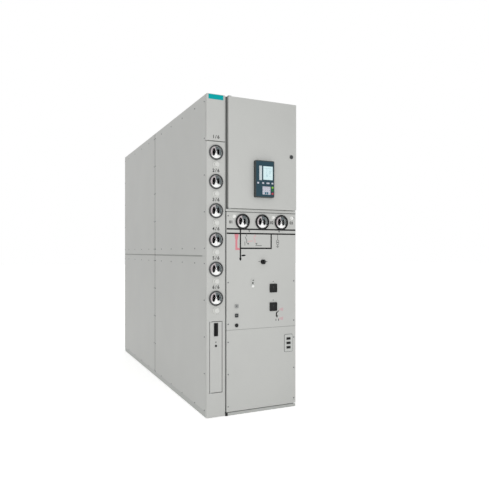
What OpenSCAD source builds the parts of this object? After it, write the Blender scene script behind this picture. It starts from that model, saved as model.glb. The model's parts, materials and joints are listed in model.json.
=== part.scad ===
// Gas-insulated switchgear panel with an end column of gas density gauges.
// Millimetres. The front looks along -Y, +X is to its right and +Z is up.
// The origin is at the bottom centre of the overall box.

/* [Housing] */
// Overall width
width = 750; // [720:1:900]
// Overall height
height = 2350; // [2250:1:2500]
// Depth from the front covers to the rear wall
depth = 2650; // [2400:1:2900]
// Depth of the front bay, up to the vertical joint in the side walls
front_bay = 1340; // [1200:1:1500]
// Distance of the horizontal seam in the side and rear walls below the control compartment
seam_drop = 329; // [200:1:480]
// Open width of the seam and of the vertical joint
seam_gap = 10; // [6:1:14]
// Sheet thickness of covers and walls
sheet = 2; // [1.5:0.1:2.5]
// Depth of the folded edge of a cover
fold = 25; // [22:1:32]
// Shadow gap between neighbouring front covers
cover_gap = 6; // [4:1:8]
// Gap between a side wall and the cover or wall beside it
corner_gap = 3; // [2:0.5:5]
// Height of the side walls above the roof plates
roof_drop = 2; // [1:0.5:6]
// Inset of the front covers from the right-hand side
board_inset = 1; // [0:1:10]

/* [Base and posts] */
// Height of the base rails
base_h = 45; // [40:1:60]
// Thickness of the base rails
base_t = 5; // [4:0.5:8]
// Width of the base rail's foot
base_foot = 60; // [50:1:80]
// Setback of the base rails behind the walls
base_inset = 2; // [1:0.5:5]
// Height of the front plinth rail
plinth_h = 22; // [18:1:26]
// Diameter of the anchor holes
anchor_d = 14; // [11:0.5:16]
// Distance of an anchor hole from the outer face of its rail
anchor_edge = 25; // [20:1:28]
// Distance of the anchor holes from the front and the rear
anchor_inset = 240; // [200:5:400]
// Lap of the floor plates on the feet of the rails
floor_lap = 15; // [8:1:16]
// Thickness of a frame post across the housing
post_t = 20; // [15:1:22]
// Width of a frame post along the housing
post_w = 85; // [60:1:110]
// Wall of a frame post
post_wall = 3; // [2:0.5:4]
// Height of the rails behind the horizontal seam
seam_rail_h = 130; // [110:1:160]
// Lap of the column's inner post behind the column's cover
inner_post_lap = 10; // [8:1:14]
// Width of the column's inner post
inner_post_w = 40; // [36:1:50]

/* [End column] */
// Width of the end column's covers
column_w = 145; // [135:1:165]
// Width of the groove beside the column
groove_w = 12; // [10:1:20]
// Height of the upper column cover
column_top_h = 341; // [280:1:400]
// Clearance of the lower column cover from the ground
column_foot_gap = 5; // [3:1:12]
// Width of the blank name plate
name_plate_w = 117; // [100:1:130]
// Height of the blank name plate
name_plate_h = 35; // [28:1:38]
// Thickness of the blank name plate
name_plate_t = 1.5; // [1:0.1:2]
// Distance of the name plate's middle below the top
name_plate_drop = 20; // [19:1:60]
// Number of gauges in the column
column_gauges = 6; // [3:1:6]
// Distance of the first gauge below the column's seam
column_gauge_drop = 82; // [76:1:110]
// Distance of the last gauge above the narrow door
column_gauge_rise = 172; // [165:1:220]

/* [Narrow door] */
// Width of the narrow door
slim_door_w = 94; // [86:1:98]
// Height of the narrow door
slim_door_h = 512; // [420:1:560]
// Height of the narrow door's lower edge
slim_door_z = 184; // [120:1:240]
// Depth of the narrow door's folded edge
slim_door_fold = 15; // [13:1:18]
// Gap round the narrow door
slim_door_gap = 8; // [7:0.5:10]
// Depth of the locker behind the narrow door
locker_d = 120; // [80:1:200]
// Width of the flush pull
grip_w = 32; // [30:1:40]
// Height of the flush pull
grip_h = 96; // [80:1:110]
// Distance of the pull's middle below the door's upper edge
grip_drop = 56; // [54:1:80]
// How far the pull stands in front of the door
grip_proud = 3; // [2:0.5:5]
// Depth of the pull's dish
grip_depth = 10; // [8:0.5:12]
// Wall of the pull's dish
grip_wall = 2.5; // [2:0.1:3]
// Lap of the pull's rim on the door
grip_lap = 2.5; // [2:0.1:4]
// Width of the bar across the dish
grip_bar = 6; // [5:0.5:8]
// Distance of the narrow door's lock below its upper edge
slim_lock_drop = 174; // [130:1:220]
// Diameter of the narrow door's lock
slim_lock_d = 17; // [15:1:22]
// How far the narrow door's lock stands in front of it
slim_lock_proud = 3; // [2:0.5:5]
// Depth of the narrow door's lock behind its face
slim_lock_depth = 9; // [6:0.5:12]

/* [Control compartment] */
// Height of the control compartment
lv_h = 846; // [760:1:900]
// Depth of the control compartment
lv_d = 400; // [320:1:500]
// Height of the lip below its door
lv_lip = 17; // [8:1:20]
// How far its door stands in front of the covers
door_proud = 20; // [18:1:28]
// Gap between the door and the lip below it
door_gap = 5; // [5:0.5:9]
// Gap between the door's back and the compartment
door_clear = 6; // [5:0.5:9]
// Inset of the door from the left edge of the covers below it
door_left_inset = 7; // [3:1:12]
// Inset of the door from the right-hand wall
door_inset = 8; // [4:1:14]
// Corner radius of the door
door_r = 4; // [2:0.5:8]
// Distance of the door's lock from its right edge
lock_x = 44; // [36:1:60]
// Height of the door's lock above its lower edge
lock_z = 411; // [300:1:500]
// Diameter of the door's lock
lock_d = 30; // [26:1:36]
// How far the door's lock stands in front of it
lock_proud = 5; // [3:0.5:8]
// Depth of the door's lock behind its face
lock_depth = 15; // [10:0.5:18]
// Lap of a lock's rim on its door
lock_lap = 2.5; // [2:0.1:4]

/* [Door pivots] */
// Distance of the large door's pivot from its edge
pivot_inset = 12; // [9:0.5:14]
// Diameter of the large door's pivot pins
pivot_d = 8; // [6:0.5:9]
// Distance of the narrow door's pivot from its edge and face
slim_pivot_inset = 5.2; // [5:0.1:5.5]
// Diameter of the narrow door's pivot pins
slim_pivot_d = 5; // [4:0.5:5]
// Play between a pin and its hole, on the diameter
pin_play = 0.15; // [0.1:0.05:0.2]
// Play between a door and its pivot bracket
bracket_play = 2; // [1.5:0.1:3]
// Thickness of a pivot bracket
bracket_t = 3; // [2.5:0.1:3.5]
// Reach of a pin into its door
pin_reach = 12; // [8:1:20]
// Width of the narrow door's pivot brackets
slim_bracket_w = 14; // [12:1:16]

/* [Relay] */
// Width of the relay's front
relay_w = 160; // [140:1:190]
// Height of the relay's front
relay_h = 275; // [265:1:320]
// How far the relay stands in front of the door
relay_proud = 28; // [24:1:40]
// Distance of the relay's middle from the door's left edge
relay_x = 287; // [200:1:380]
// Height of the relay's middle above the door's lower edge
relay_z = 224; // [180:1:500]
// Depth of the relay's case behind the door's face
relay_case_d = 170; // [100:1:220]
// Width of the flange round the relay's case
relay_flange = 10; // [6:1:14]
// Corner radius of the relay's front
relay_r = 8; // [3:1:9]
// How far the relay's single keys stand in front of it
relay_key_proud = 2; // [1:0.5:3]
// Depth of the relay's panes and keypad behind its front
pane_depth = 2; // [1.5:0.1:3]
// Width of a single key
relay_key_w = 15; // [12:1:17]
// Height of a single key
relay_key_h = 12; // [10:1:14]
// Width of the oval key
relay_oval_key_w = 27; // [22:1:30]
// Gap between two keys of the keypad
relay_key_gap = 4; // [3:0.5:6]
// Clearance of a part in its cut-out, on each side
fit_clear = 1; // [0.5:0.1:1.5]
// Play of a seated pane, dial or glass, on each side
seat_play = 0.3; // [0.2:0.05:0.5]

/* [Front covers] */
// Clearance of the lower cover from the ground
cover_foot_gap = 27; // [26:1:40]
// Height of the lower cover
lower_cover_h = 600; // [520:1:660]
// Gap between the lower cover and the control board
lower_seam_gap = 3; // [2:0.5:6]
// Distance of the board's outer gauges from its edges, as a share of its width
board_gauge_edge_share = 0.2205; // [0.2:0.0001:0.24]
// Room between the board's gauges and its upper edge
board_gauge_room = 9.5; // [6:0.5:20]

/* [Gauges] */
// Room between a column gauge and each side of the column
gauge_side_room = 17.5; // [12:0.5:24]
// Largest diameter of a column gauge, as a share of the length from the first gauge to the last
gauge_run_share = 0.1039; // [0.09:0.0001:0.11]
// Diameter of a board gauge, as a share of the distance between two of them
gauge_pitch_share = 0.701; // [0.6:0.0001:0.71]
// How far a gauge stands in front of its cover
gauge_proud = 11; // [10:1:20]
// Lap of a gauge's ring on its cover
gauge_lap = 7.5; // [6:0.5:12]
// Depth of the can behind the cover
gauge_can_h = 20; // [12:1:20]
// Width of a gauge's front ring
gauge_ring = 8; // [5:0.5:9]
// Edge radius of a gauge's front ring
gauge_r = 3; // [2:0.5:5]
// Depth of the dial behind the ring's front
dial_drop = 8; // [7:0.5:9.5]
// Thickness of a dial
dial_t = 1; // [0.6:0.1:1.5]
// Depth of the glass behind the ring's front
glass_drop = 2; // [1:0.5:2.5]
// Thickness of a gauge's glass
glass_t = 2; // [1.5:0.1:2.5]
// Width of the ledge under the glass
glass_ledge = 3; // [2:0.5:4]
// Diameter of a column gauge's valve cap
column_cap_d = 50; // [40:1:52]
// Gap between a column gauge and its valve cap
column_cap_gap = 9; // [4:0.5:10]
// Height of a column gauge's valve cap
column_cap_h = 24; // [16:1:30]
// Diameter of a board gauge's valve cap, as a share of the gauge's
board_cap_share = 0.226; // [0.18:0.001:0.25]
// Height of a board gauge's valve cap
board_cap_h = 14; // [10:1:20]

/* [Controls] */
// Distance of the selector knob from the board's right edge
knob_x = 289; // [240:1:330]
// Height of the selector knob above the board's lower edge, as a share of its height
knob_height_share = 0.5755; // [0.5:0.0005:0.64]
// Width of the selector knob's base
knob_d = 41; // [32:1:50]
// Height of the selector knob
knob_h = 26; // [18:1:32]
// Distance of the crank shutters from the board's right edge
shutter_x = 200; // [150:1:240]
// Height of the upper shutter above the board's lower edge, as a share of its height
shutter_upper_share = 0.3437; // [0.31:0.0001:0.38]
// Height of the lower shutter above the board's lower edge, as a share of its height
shutter_lower_share = 0.18; // [0.14:0.001:0.22]
// Width of a crank shutter
shutter_w = 63; // [54:1:72]
// Height of a crank shutter
shutter_h = 66; // [56:1:76]
// Thickness of a crank shutter
shutter_t = 7; // [6:0.5:10]
// Width of the frame round a crank shutter
shutter_frame = 6; // [4:0.5:9]
// Distance of the indicators from the board's left edge
indicator_x = 81; // [50:1:110]
// Height of the upper indicator above the board's lower edge, as a share of its height
indicator_upper_share = 0.1995; // [0.18:0.0005:0.25]
// Height of the middle indicator above the board's lower edge, as a share of its height
indicator_middle_share = 0.12; // [0.1:0.001:0.14]
// Height of the lower indicator above the board's lower edge, as a share of its height
indicator_lower_share = 0.0358; // [0.03:0.0001:0.05]
// Width of the upper indicator
indicator_w = 28; // [26:1:38]
// Thickness of an indicator
indicator_t = 6; // [4:0.5:9]
// Distance of the switch flag from the board's left edge
flag_x = 215; // [180:1:240]
// Height of the switch flag above the board's lower edge, as a share of its height
flag_height_share = 0.391; // [0.34:0.001:0.44]
// Width of the switch flag
flag_w = 22; // [18:1:28]
// Height of the switch flag
flag_h = 62; // [50:1:76]

/* [Voltage test point] */
// Width of the test point's plate
socket_plate_w = 68; // [60:1:80]
// Height of the test point's plate
socket_plate_h = 132; // [120:1:150]
// Thickness of the test point's plate
socket_plate_t = 3; // [2:0.5:5]
// Distance of the plate's middle from the cover's right edge
socket_plate_x = 66; // [50:1:120]
// Distance of the plate's middle below the cover's upper edge
socket_plate_drop = 128; // [90:1:200]
// Distance between two capped sockets across the plate
socket_pitch_x = 18; // [17:1:30]
// Distance between two capped sockets up the plate
socket_pitch_z = 34; // [24:1:40]
// Diameter of a socket's cap
socket_cap_d = 16; // [12:1:18]
// Height of a socket's cap above its plate
socket_cap_h = 4; // [3:0.5:8]
// Lap of a socket's cap on its plate
socket_cap_lap = 2.5; // [2:0.1:3]

/* [Hidden] */
$fn = 48;

paint = "#c6c7c4";
paint_dark = "#9b9d9b";
black = "#1f2021";

// Planes of the housing
front_reach = door_proud + relay_proud + relay_key_proud;
left = -width / 2;
right = width / 2;
front = front_reach - (depth + front_reach) / 2;
rear = front + depth;
joint = front + front_bay;
roof_z = height - roof_drop - sheet;
lv_z = height - lv_h;
seam_z = lv_z - seam_drop;
wall_front = front + fold + corner_gap;

// Front covers
column_right = left + column_w;
board_left = column_right + groove_w;
board_right = right - board_inset;
board_w = board_right - board_left;
lower_cover_top = cover_foot_gap + lower_cover_h;
board_bottom = lower_cover_top + lower_seam_gap;
board_top = lv_z - cover_gap;
board_h = board_top - board_bottom;
column_seam_z = height - column_top_h;

// Narrow door and locker of the column
slim_door_left = left + (column_right - left - slim_door_w) / 2;
slim_door_top = slim_door_z + slim_door_h;
slim_pivot_x = slim_door_left + slim_pivot_inset;
slim_pivot_y = front + slim_pivot_inset;
grip_size = [grip_w, grip_h];
grip_dish = grip_size - [grip_lap, grip_lap] * 2;
grip_spot = [slim_door_left + slim_door_w / 2, slim_door_top - grip_drop];
slim_lock_spot = [slim_door_left + slim_door_w / 2, slim_door_top - slim_lock_drop];
inner_post_left = column_right - inner_post_lap;
inner_post_right = inner_post_left + inner_post_w;
locker_left = left + fold + post_t;
locker_w = inner_post_left - locker_left;

// Control compartment and its door
lv_left = column_right + groove_w / 2;
lv_right = right - fold;
lv_inside_z = lv_z + sheet;
door_left = board_left + door_left_inset;
door_right = right - door_inset;
door_w = door_right - door_left;
door_z = lv_z + lv_lip + door_gap;
door_top = roof_z - bracket_play;
door_h = door_top - door_z;
door_face = front - door_proud;
pivot_x = door_left + pivot_inset;
pivot_y = front - door_proud / 2;
lock_spot = [door_right - lock_x, door_z + lock_z];

// Gauges, each with its place on the front and its diameter
column_gauge_x = left + column_w / 2;
column_gauge_first = column_seam_z - column_gauge_drop;
column_gauge_run = column_gauge_first - slim_door_top - column_gauge_rise;
column_gauge_pitch = column_gauge_run / (column_gauges - 1);
column_gauge_d = min(column_w - 2 * gauge_side_room, gauge_run_share * column_gauge_run);
column_gauge_spots = [for (i = [0 : column_gauges - 1])
  [column_gauge_x, column_gauge_first - i * column_gauge_pitch]];
board_gauges = 3;
board_gauge_pitch = board_w * (1 - 2 * board_gauge_edge_share) / (board_gauges - 1);
board_gauge_d = gauge_pitch_share * board_gauge_pitch;
board_gauge_z = board_top - board_gauge_room - board_gauge_d / 2;
board_gauge_spots = [for (i = [0 : board_gauges - 1])
  [board_left + board_w * board_gauge_edge_share + i * board_gauge_pitch, board_gauge_z]];
gauges = concat([for (spot = column_gauge_spots) [spot, column_gauge_d]],
  [for (spot = board_gauge_spots) [spot, board_gauge_d]]);

// Gas valve caps: one below each column gauge, one beside each board gauge
column_cap_drop = (column_gauge_d + column_cap_d) / 2 + column_cap_gap;
board_cap_shifts = [[-0.6, 0.313], [0.817, 0.313], [0.817, 0.313]] * board_gauge_d;

// Controls and test point
knob_spot = [board_right - knob_x, board_bottom + knob_height_share * board_h];
shutter_size = [shutter_w, shutter_h];
shutter_spots = [for (share = [shutter_upper_share, shutter_lower_share])
  [board_right - shutter_x, board_bottom + share * board_h]];
indicator_spots = [for (share = [indicator_upper_share, indicator_middle_share, indicator_lower_share])
  [board_left + indicator_x, board_bottom + share * board_h]];
flag_size = [flag_w, flag_h];
flag_spot = [board_left + flag_x, board_bottom + flag_height_share * board_h];
socket_plate_spot = [board_right - socket_plate_x, lower_cover_top - socket_plate_drop];
socket_spots = [for (x = [-0.5, 0.5], z = [-1, 0, 1])
  socket_plate_spot + [x * socket_pitch_x, z * socket_pitch_z]];
socket_stem_d = socket_cap_d - 2 * socket_cap_lap;

// Relay front: the middle and the size of each field, as shares of its width and height
relay_size = [relay_w, relay_h];
relay_mid = [door_left + relay_x, door_z + relay_z];
relay_face = door_face - relay_proud;
relay_fields = [[[0.166, 0.164], [0.506, 0.371]], [[-0.228, 0.16], [0.144, 0.393]]];
relay_pad = [[0.085, -0.312], [0.43, 0.222]];
relay_row = [[-0.3625, -0.113], [-0.1, -0.113], [0.394, -0.113]];
relay_oval_key = [0.156, -0.113];
relay_side_keys = [[0.4, -0.225], [0.4, -0.302], [0.4, -0.393]];
key_columns = 4;
key_rows = 3;

// Orientation of flat pieces: u runs along the face, v up and t inwards from the outer side
module facing_front() mirror([0, 1, 0]) rotate([90, 0, 0]) children();
module facing_rear() rotate([90, 0, 0]) children();
module facing_left() rotate([90, 0, 90]) children();
module facing_right() mirror([1, 0, 0]) facing_left() children();

// Places a round fitting on the front covers, its axis pointing outwards
module on_front(spot, y = front) translate([spot[0], y, spot[1]]) rotate([90, 0, 0]) children();

module slab(from, to) translate(from) cube(to - from);

module rounded(size, r) {
  translate([r, 0]) square([size[0] - 2 * r, size[1]]);
  translate([0, r]) square([size[0], size[1] - 2 * r]);
  for (x = [r, size[0] - r], y = [r, size[1] - r]) translate([x, y]) circle(r);
}

// Sheet-metal cover: a flat face with its four edges folded inwards
module pan(size, edge = fold) {
  difference() {
    cube([size[0], size[1], edge]);
    translate([sheet, sheet, sheet]) cube([size[0] - 2 * sheet, size[1] - 2 * sheet, edge]);
  }
}

// Rounded plate standing on the front covers, centred on its place
module front_plate(spot, size, r, t, y = front) {
  on_front(spot, y) linear_extrude(t) translate(-size / 2) rounded(size, r);
}

// Turned body with a rounded front edge
module turned(r, h, edge) rotate_extrude() {
  square([r - edge, h]);
  square([r, h - edge]);
  intersection() {
    translate([r - edge, h - edge]) circle(edge);
    square([r, h]);
  }
}

// Base

module base_rail_profile() {
  square([base_foot, base_t]);
  square([base_t, base_h]);
}

module base_side_rail(start) {
  translate([0, rear - base_inset - base_t, 0]) rotate([90, 0, 0])
    linear_extrude(rear - base_inset - base_t - start) base_rail_profile();
}

module base_side_rails() color(paint) {
  difference() {
    for (side = [-1, 1]) translate([side * (width / 2 - base_inset), 0, 0])
      mirror([side < 0 ? 0 : 1, 0, 0]) base_side_rail(wall_front);
    // The right-hand rail stands on the foot of the plinth rail
    slab([board_left, front, -1], [right, front + base_inset + base_foot, base_t]);
    for (side = [-1, 1], y = [front + anchor_inset, rear - anchor_inset])
      translate([side * (width / 2 - base_inset - anchor_edge), y, -1])
        cylinder(d = anchor_d, h = base_t + 2);
  }
}

module base_cross_rails() color(paint) {
  rail_left = left + base_inset;
  rail_right = right - base_inset;
  // Plinth rail below the front covers
  translate([board_left, front + base_inset, 0]) rotate([90, 0, 90])
    linear_extrude(rail_right - board_left) {
      square([base_foot, base_t]);
      square([base_t, plinth_h]);
    }
  // Rail under the joint of the bays, standing on the feet of the side rails
  slab([rail_left + base_t, joint - base_foot / 2, base_t],
    [rail_right - base_t, joint + base_foot / 2, 2 * base_t]);
  // Rear rail across the ends of the side rails
  slab([rail_left, rear - base_inset - base_t, 0], [rail_right, rear - base_inset, base_h]);
}

module floor_plates() color(paint_dark) {
  plate_left = left + base_inset + base_foot - floor_lap;
  front_edge = wall_front;
  rear_edge = rear - base_inset - base_t;
  for (bay = [[front_edge, joint - base_foot / 2], [joint + base_foot / 2, rear_edge]])
    slab([plate_left, bay[0], base_t], [-plate_left, bay[1], base_t + sheet]);
}

// Frame posts: square tubes standing on the base rails

module post(from, to) {
  difference() {
    slab(from, to);
    slab(from + [post_wall, post_wall, -1], to + [-post_wall, -post_wall, 1]);
  }
}

module side_post(y, side, top) {
  x = side < 0 ? left + fold : right - fold - post_t;
  post([x, y, base_t], [x + post_t, y + post_w, top]);
}

module front_posts() color(paint_dark) {
  side_post(front + fold, -1, roof_z);
  side_post(front + fold, 1, lv_z);
  // The inner post of the column stands on the floor plate
  post([inner_post_left, front + fold, base_t + sheet], [inner_post_right, front + fold + post_w, lv_z]);
}

module joint_posts() color(paint_dark)
  for (side = [-1, 1]) difference() {
    union() {
      for (y = [joint - seam_gap / 2 - post_w, joint + seam_gap / 2]) side_post(y, side, roof_z);
      // Strip that closes the joint between the two posts
      x = side < 0 ? left + fold : right - fold - post_wall;
      slab([x, joint - seam_gap / 2, base_t], [x + post_wall, joint + seam_gap / 2, roof_z]);
    }
    // Room for the rail under the joint
    slab([left, joint - base_foot / 2, 0], [right, joint + base_foot / 2, 2 * base_t]);
  }

module rear_posts() color(paint_dark)
  for (side = [-1, 1]) side_post(rear - fold - post_w, side, roof_z);

// Flat rails from post to post, which the walls are screwed to along the seam
module seam_rails() color(paint_dark) {
  low = seam_z - seam_rail_h / 2;
  high = seam_z + seam_rail_h / 2;
  bays = [[front + fold + post_w, joint - seam_gap / 2 - post_w],
    [joint + seam_gap / 2 + post_w, rear - fold - post_w]];
  for (x = [left + fold, right - fold - post_wall], bay = bays)
    slab([x, bay[0], low], [x + post_wall, bay[1], high]);
  slab([left + fold + post_t, rear - fold - post_wall, low], [right - fold - post_t, rear - fold, high]);
}

// Walls and roof

lower_wall = [base_h, seam_z - seam_gap / 2];
upper_wall = [seam_z + seam_gap / 2, height];
front_wall = [wall_front, joint - seam_gap / 2];
rear_wall = [joint + seam_gap / 2, rear];

module side_wall(along, up) pan([along[1] - along[0], up[1] - up[0]]);

module left_wall(along, up) color(paint)
  translate([left, along[0], up[0]]) facing_left() side_wall(along, up);

module right_wall(along, up) color(paint)
  translate([right, along[0], up[0]]) facing_right() side_wall(along, up);

module rear_panel(up) color(paint) {
  inset = fold + corner_gap;
  translate([left + inset, rear, up[0]]) facing_rear() pan([width - 2 * inset, up[1] - up[0]]);
}

module roof_plate(from, to) color(paint)
  slab([left + fold, from, roof_z], [right - fold, to, roof_z + sheet]);

// End column

module column_top_cover() color(paint)
  translate([left, front, column_seam_z + cover_gap / 2]) facing_front()
    pan([column_right - left, column_top_h - cover_gap / 2]);

module gauge_hole(spot, d) on_front(spot, front + fold)
  cylinder(d = d - 2 * gauge_lap + 2 * fit_clear, h = 2 * fold);

module column_cover() color(paint) {
  top = column_seam_z - cover_gap / 2;
  difference() {
    translate([left, front, column_foot_gap]) facing_front()
      pan([column_right - left, top - column_foot_gap]);
    for (spot = column_gauge_spots) gauge_hole(spot, column_gauge_d);
    slab([slim_door_left - slim_door_gap, front - 1, slim_door_z - slim_door_gap],
      [slim_door_left + slim_door_w + slim_door_gap, front + sheet + 1, slim_door_top + slim_door_gap]);
  }
}

module column_locker() color(paint_dark)
  translate([locker_left, front + fold + locker_d, slim_door_z]) facing_rear()
    pan([locker_w, slim_door_h], locker_d);

module name_plate() color("#0b9c9e")
  front_plate([column_gauge_x, height - name_plate_drop], [name_plate_w, name_plate_h],
    name_plate_t, name_plate_t);

// Narrow door

module pin_hole(x, y, d, top) translate([x, y, -1]) cylinder(d = d + pin_play, h = top + 2);

module slim_door() color(paint) {
  difference() {
    translate([slim_door_left, front, slim_door_z]) facing_front()
      pan([slim_door_w, slim_door_h], slim_door_fold);
    pin_hole(slim_pivot_x, slim_pivot_y, slim_pivot_d, slim_door_top + sheet);
    front_plate(grip_spot, grip_dish + [fit_clear, fit_clear], sheet, 3 * sheet, front + 2 * sheet);
    lock_hole(slim_lock_spot, front, slim_lock_d);
  }
}

// Flush pull: a moulded dish with a bar across its recess
module slim_door_grip() color(black) {
  recess = grip_dish - [grip_wall, grip_wall] * 2;
  difference() {
    union() {
      front_plate(grip_spot, grip_size, grip_lap, grip_proud);
      front_plate(grip_spot, grip_dish, sheet, grip_depth, front + grip_depth);
    }
    front_plate(grip_spot, recess, sheet, 2 * grip_depth, front + grip_depth - grip_wall);
  }
  front_plate(grip_spot, [grip_bar, grip_dish[1] - grip_wall], sheet, grip_depth,
    front + grip_depth - grip_wall);
}

module lock_hole(spot, y, d) on_front(spot, y + 2 * sheet)
  cylinder(d = d - 2 * lock_lap + fit_clear, h = 3 * sheet);

module key_lock(spot, y, d, proud, body) {
  difference() {
    union() {
      on_front(spot, y) turned(d / 2, proud, proud / 3);
      on_front(spot, y + body) cylinder(d = d - 2 * lock_lap, h = body);
    }
    on_front(spot, y) translate([-d / 14, -d / 4, proud / 3]) cube([d / 7, d / 2, proud]);
  }
}

module slim_door_lock() color(black)
  key_lock(slim_lock_spot, front, slim_lock_d, slim_lock_proud, slim_lock_depth);

module slim_door_pivots() color("silver") {
  for (end = [0, 1]) {
    edge = end == 0 ? slim_door_z - bracket_play - bracket_t : slim_door_top + bracket_play;
    pin = end == 0 ? slim_door_z - bracket_play : slim_door_top - pin_reach;
    slab([slim_pivot_x - slim_bracket_w / 2, front + sheet, edge],
      [slim_pivot_x + slim_bracket_w / 2, front + fold, edge + bracket_t]);
    translate([slim_pivot_x, slim_pivot_y, pin]) cylinder(d = slim_pivot_d, h = pin_reach + bracket_play);
  }
}

// Control compartment

module lv_floor() color(paint) {
  slab([lv_left, front + sheet, lv_z], [lv_right, front + lv_d, lv_inside_z]);
  slab([lv_left, front, lv_z], [board_right, front + sheet, lv_z + lv_lip]);
}

module lv_roof() color(paint)
  slab([lv_left, front + door_clear, roof_z - sheet], [lv_right, front + lv_d, roof_z]);

module lv_left_wall() color(paint)
  slab([lv_left, front + door_clear, lv_inside_z], [lv_left + sheet, front + lv_d - sheet, roof_z - sheet]);

// The right-hand wall folds outwards at the front and closes the corner behind the door
module lv_right_wall() color(paint) {
  y = front + door_clear;
  top = roof_z - sheet;
  slab([lv_right - sheet, y, lv_inside_z], [lv_right, front + lv_d - sheet, top]);
  slab([lv_right - sheet, y, lv_inside_z], [board_right, y + sheet, top]);
  slab([board_right - sheet, y, lv_inside_z], [board_right, front + fold, top]);
}

module lv_back_wall() color(paint)
  slab([lv_left, front + lv_d - sheet, lv_inside_z], [lv_right, front + lv_d, roof_z - sheet]);

// Door of the control compartment

module lv_door() color(paint) {
  difference() {
    translate([door_left, door_face, door_z]) facing_front() difference() {
      linear_extrude(door_proud) rounded([door_w, door_h], door_r);
      translate([sheet, sheet, sheet]) linear_extrude(door_proud)
        rounded([door_w, door_h] - [2 * sheet, 2 * sheet], door_r - sheet / 2);
    }
    pin_hole(pivot_x, pivot_y, pivot_d, door_top + sheet);
    relay_opening = relay_size - [relay_flange, relay_flange] * 2 + [fit_clear, fit_clear] * 2;
    front_plate(relay_mid, relay_opening, sheet, 3 * sheet, door_face + 2 * sheet);
    lock_hole(lock_spot, door_face, lock_d);
  }
}

module lv_door_lock() color(black) key_lock(lock_spot, door_face, lock_d, lock_proud, lock_depth);

module lv_door_pivots() color("silver") {
  plate_left = pivot_x - pivot_inset;
  plate_right = pivot_x + pivot_inset;
  plate_front = pivot_y - pivot_d;
  leg = front + sheet;
  // Lower bracket on the lip, with a leg on the compartment's floor
  lower_top = door_z - bracket_play;
  slab([plate_left, plate_front, lv_z + lv_lip], [plate_right, leg + bracket_t, lower_top]);
  slab([plate_left, leg, lv_inside_z], [plate_right, leg + bracket_t, lower_top]);
  translate([pivot_x, pivot_y, lower_top]) cylinder(d = pivot_d, h = pin_reach + bracket_play);
  // Upper bracket on the compartment's roof
  slab([plate_left, plate_front, roof_z], [plate_right, front + fold, roof_z + bracket_t]);
  translate([pivot_x, pivot_y, door_top - pin_reach]) cylinder(d = pivot_d, h = pin_reach + bracket_play);
}

// Protection relay in the door

function of_relay(share) = [share[0] * relay_w, share[1] * relay_h];

// Plate on the relay's front, its place given in shares and its size in millimetres
module on_relay(place, size, t, y) front_plate(relay_mid + of_relay(place), size, pane_depth, t, y);

module relay_case() color("#3b474d") {
  case_size = relay_size - [relay_flange, relay_flange] * 2;
  difference() {
    union() {
      front_plate(relay_mid, relay_size, relay_r, relay_proud, door_face);
      front_plate(relay_mid, case_size, sheet, relay_case_d, door_face + relay_case_d);
    }
    for (field = concat(relay_fields, [relay_pad]))
      on_relay(field[0], of_relay(field[1]), 2 * pane_depth, relay_face + pane_depth);
  }
}

module relay_panes() color("#d6eef2")
  for (field = relay_fields)
    on_relay(field[0], of_relay(field[1]) - [seat_play, seat_play] * 2,
      pane_depth * 0.75, relay_face + pane_depth);

module relay_keys() color("#c3c3cf") {
  pad = of_relay(relay_pad[1]) - [relay_key_gap / 2, relay_key_gap / 2];
  pitch = [pad[0] / key_columns, pad[1] / key_rows];
  for (i = [0 : key_columns - 1], j = [0 : key_rows - 1]) {
    shift = [(i - (key_columns - 1) / 2) * pitch[0] / relay_w, (j - (key_rows - 1) / 2) * pitch[1] / relay_h];
    on_relay(relay_pad[0] + shift, pitch - [relay_key_gap, relay_key_gap],
      pane_depth + relay_key_proud / 2, relay_face + pane_depth);
  }
  for (place = relay_row) on_relay(place, [relay_key_w, relay_key_h], relay_key_proud, relay_face);
  for (place = relay_side_keys) on_relay(place, [relay_key_w, relay_key_w], relay_key_proud, relay_face);
  front_plate(relay_mid + of_relay(relay_oval_key), [relay_oval_key_w, relay_key_h], relay_key_h * 0.48,
    relay_key_proud, relay_face);
}

// Front covers

module control_board() color(paint) difference() {
  translate([board_left, front, board_bottom]) facing_front() pan([board_w, board_h]);
  for (spot = board_gauge_spots) gauge_hole(spot, board_gauge_d);
}

module lower_cover() color(paint)
  translate([board_left, front, cover_foot_gap]) facing_front() pan([board_w, lower_cover_h]);

// Gauges: a turned can and ring, with a dial and a glass seated in it

function window_r(d) = d / 2 - gauge_ring;

module gauge_case(d) {
  translate([0, 0, -gauge_can_h]) cylinder(d = d - 2 * gauge_lap, h = gauge_can_h);
  difference() {
    turned(d / 2, gauge_proud, gauge_r);
    translate([0, 0, gauge_proud - dial_drop]) cylinder(r = window_r(d) - glass_ledge, h = gauge_proud);
    translate([0, 0, gauge_proud - glass_drop - glass_t]) cylinder(r = window_r(d), h = gauge_proud);
  }
}

module gauge_cases() color(black)
  for (gauge = gauges) on_front(gauge[0]) gauge_case(gauge[1]);

module gauge_dials() color("#e8e9e4")
  for (gauge = gauges) on_front(gauge[0]) translate([0, 0, gauge_proud - dial_drop])
    cylinder(r = window_r(gauge[1]) - glass_ledge - seat_play, h = dial_t);

module gauge_glasses() color("#dfe8ea", 0.4)
  for (gauge = gauges) on_front(gauge[0]) translate([0, 0, gauge_proud - glass_drop - glass_t])
    cylinder(r = window_r(gauge[1]) - seat_play, h = glass_t);

// Round cap over a gas filling valve: a foot ring and a domed cap
module valve_cap(d, h) {
  turned(d / 2, h / 4, h / 12);
  turned(d * 0.36, h, h / 6);
}

module gas_valve_caps() color("#d9dad7") {
  for (spot = column_gauge_spots)
    on_front(spot - [0, column_cap_drop]) valve_cap(column_cap_d, column_cap_h);
  for (i = [0 : board_gauges - 1])
    on_front(board_gauge_spots[i] + board_cap_shifts[i])
      valve_cap(board_cap_share * board_gauge_d, board_cap_h);
}

// Controls on the board

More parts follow.
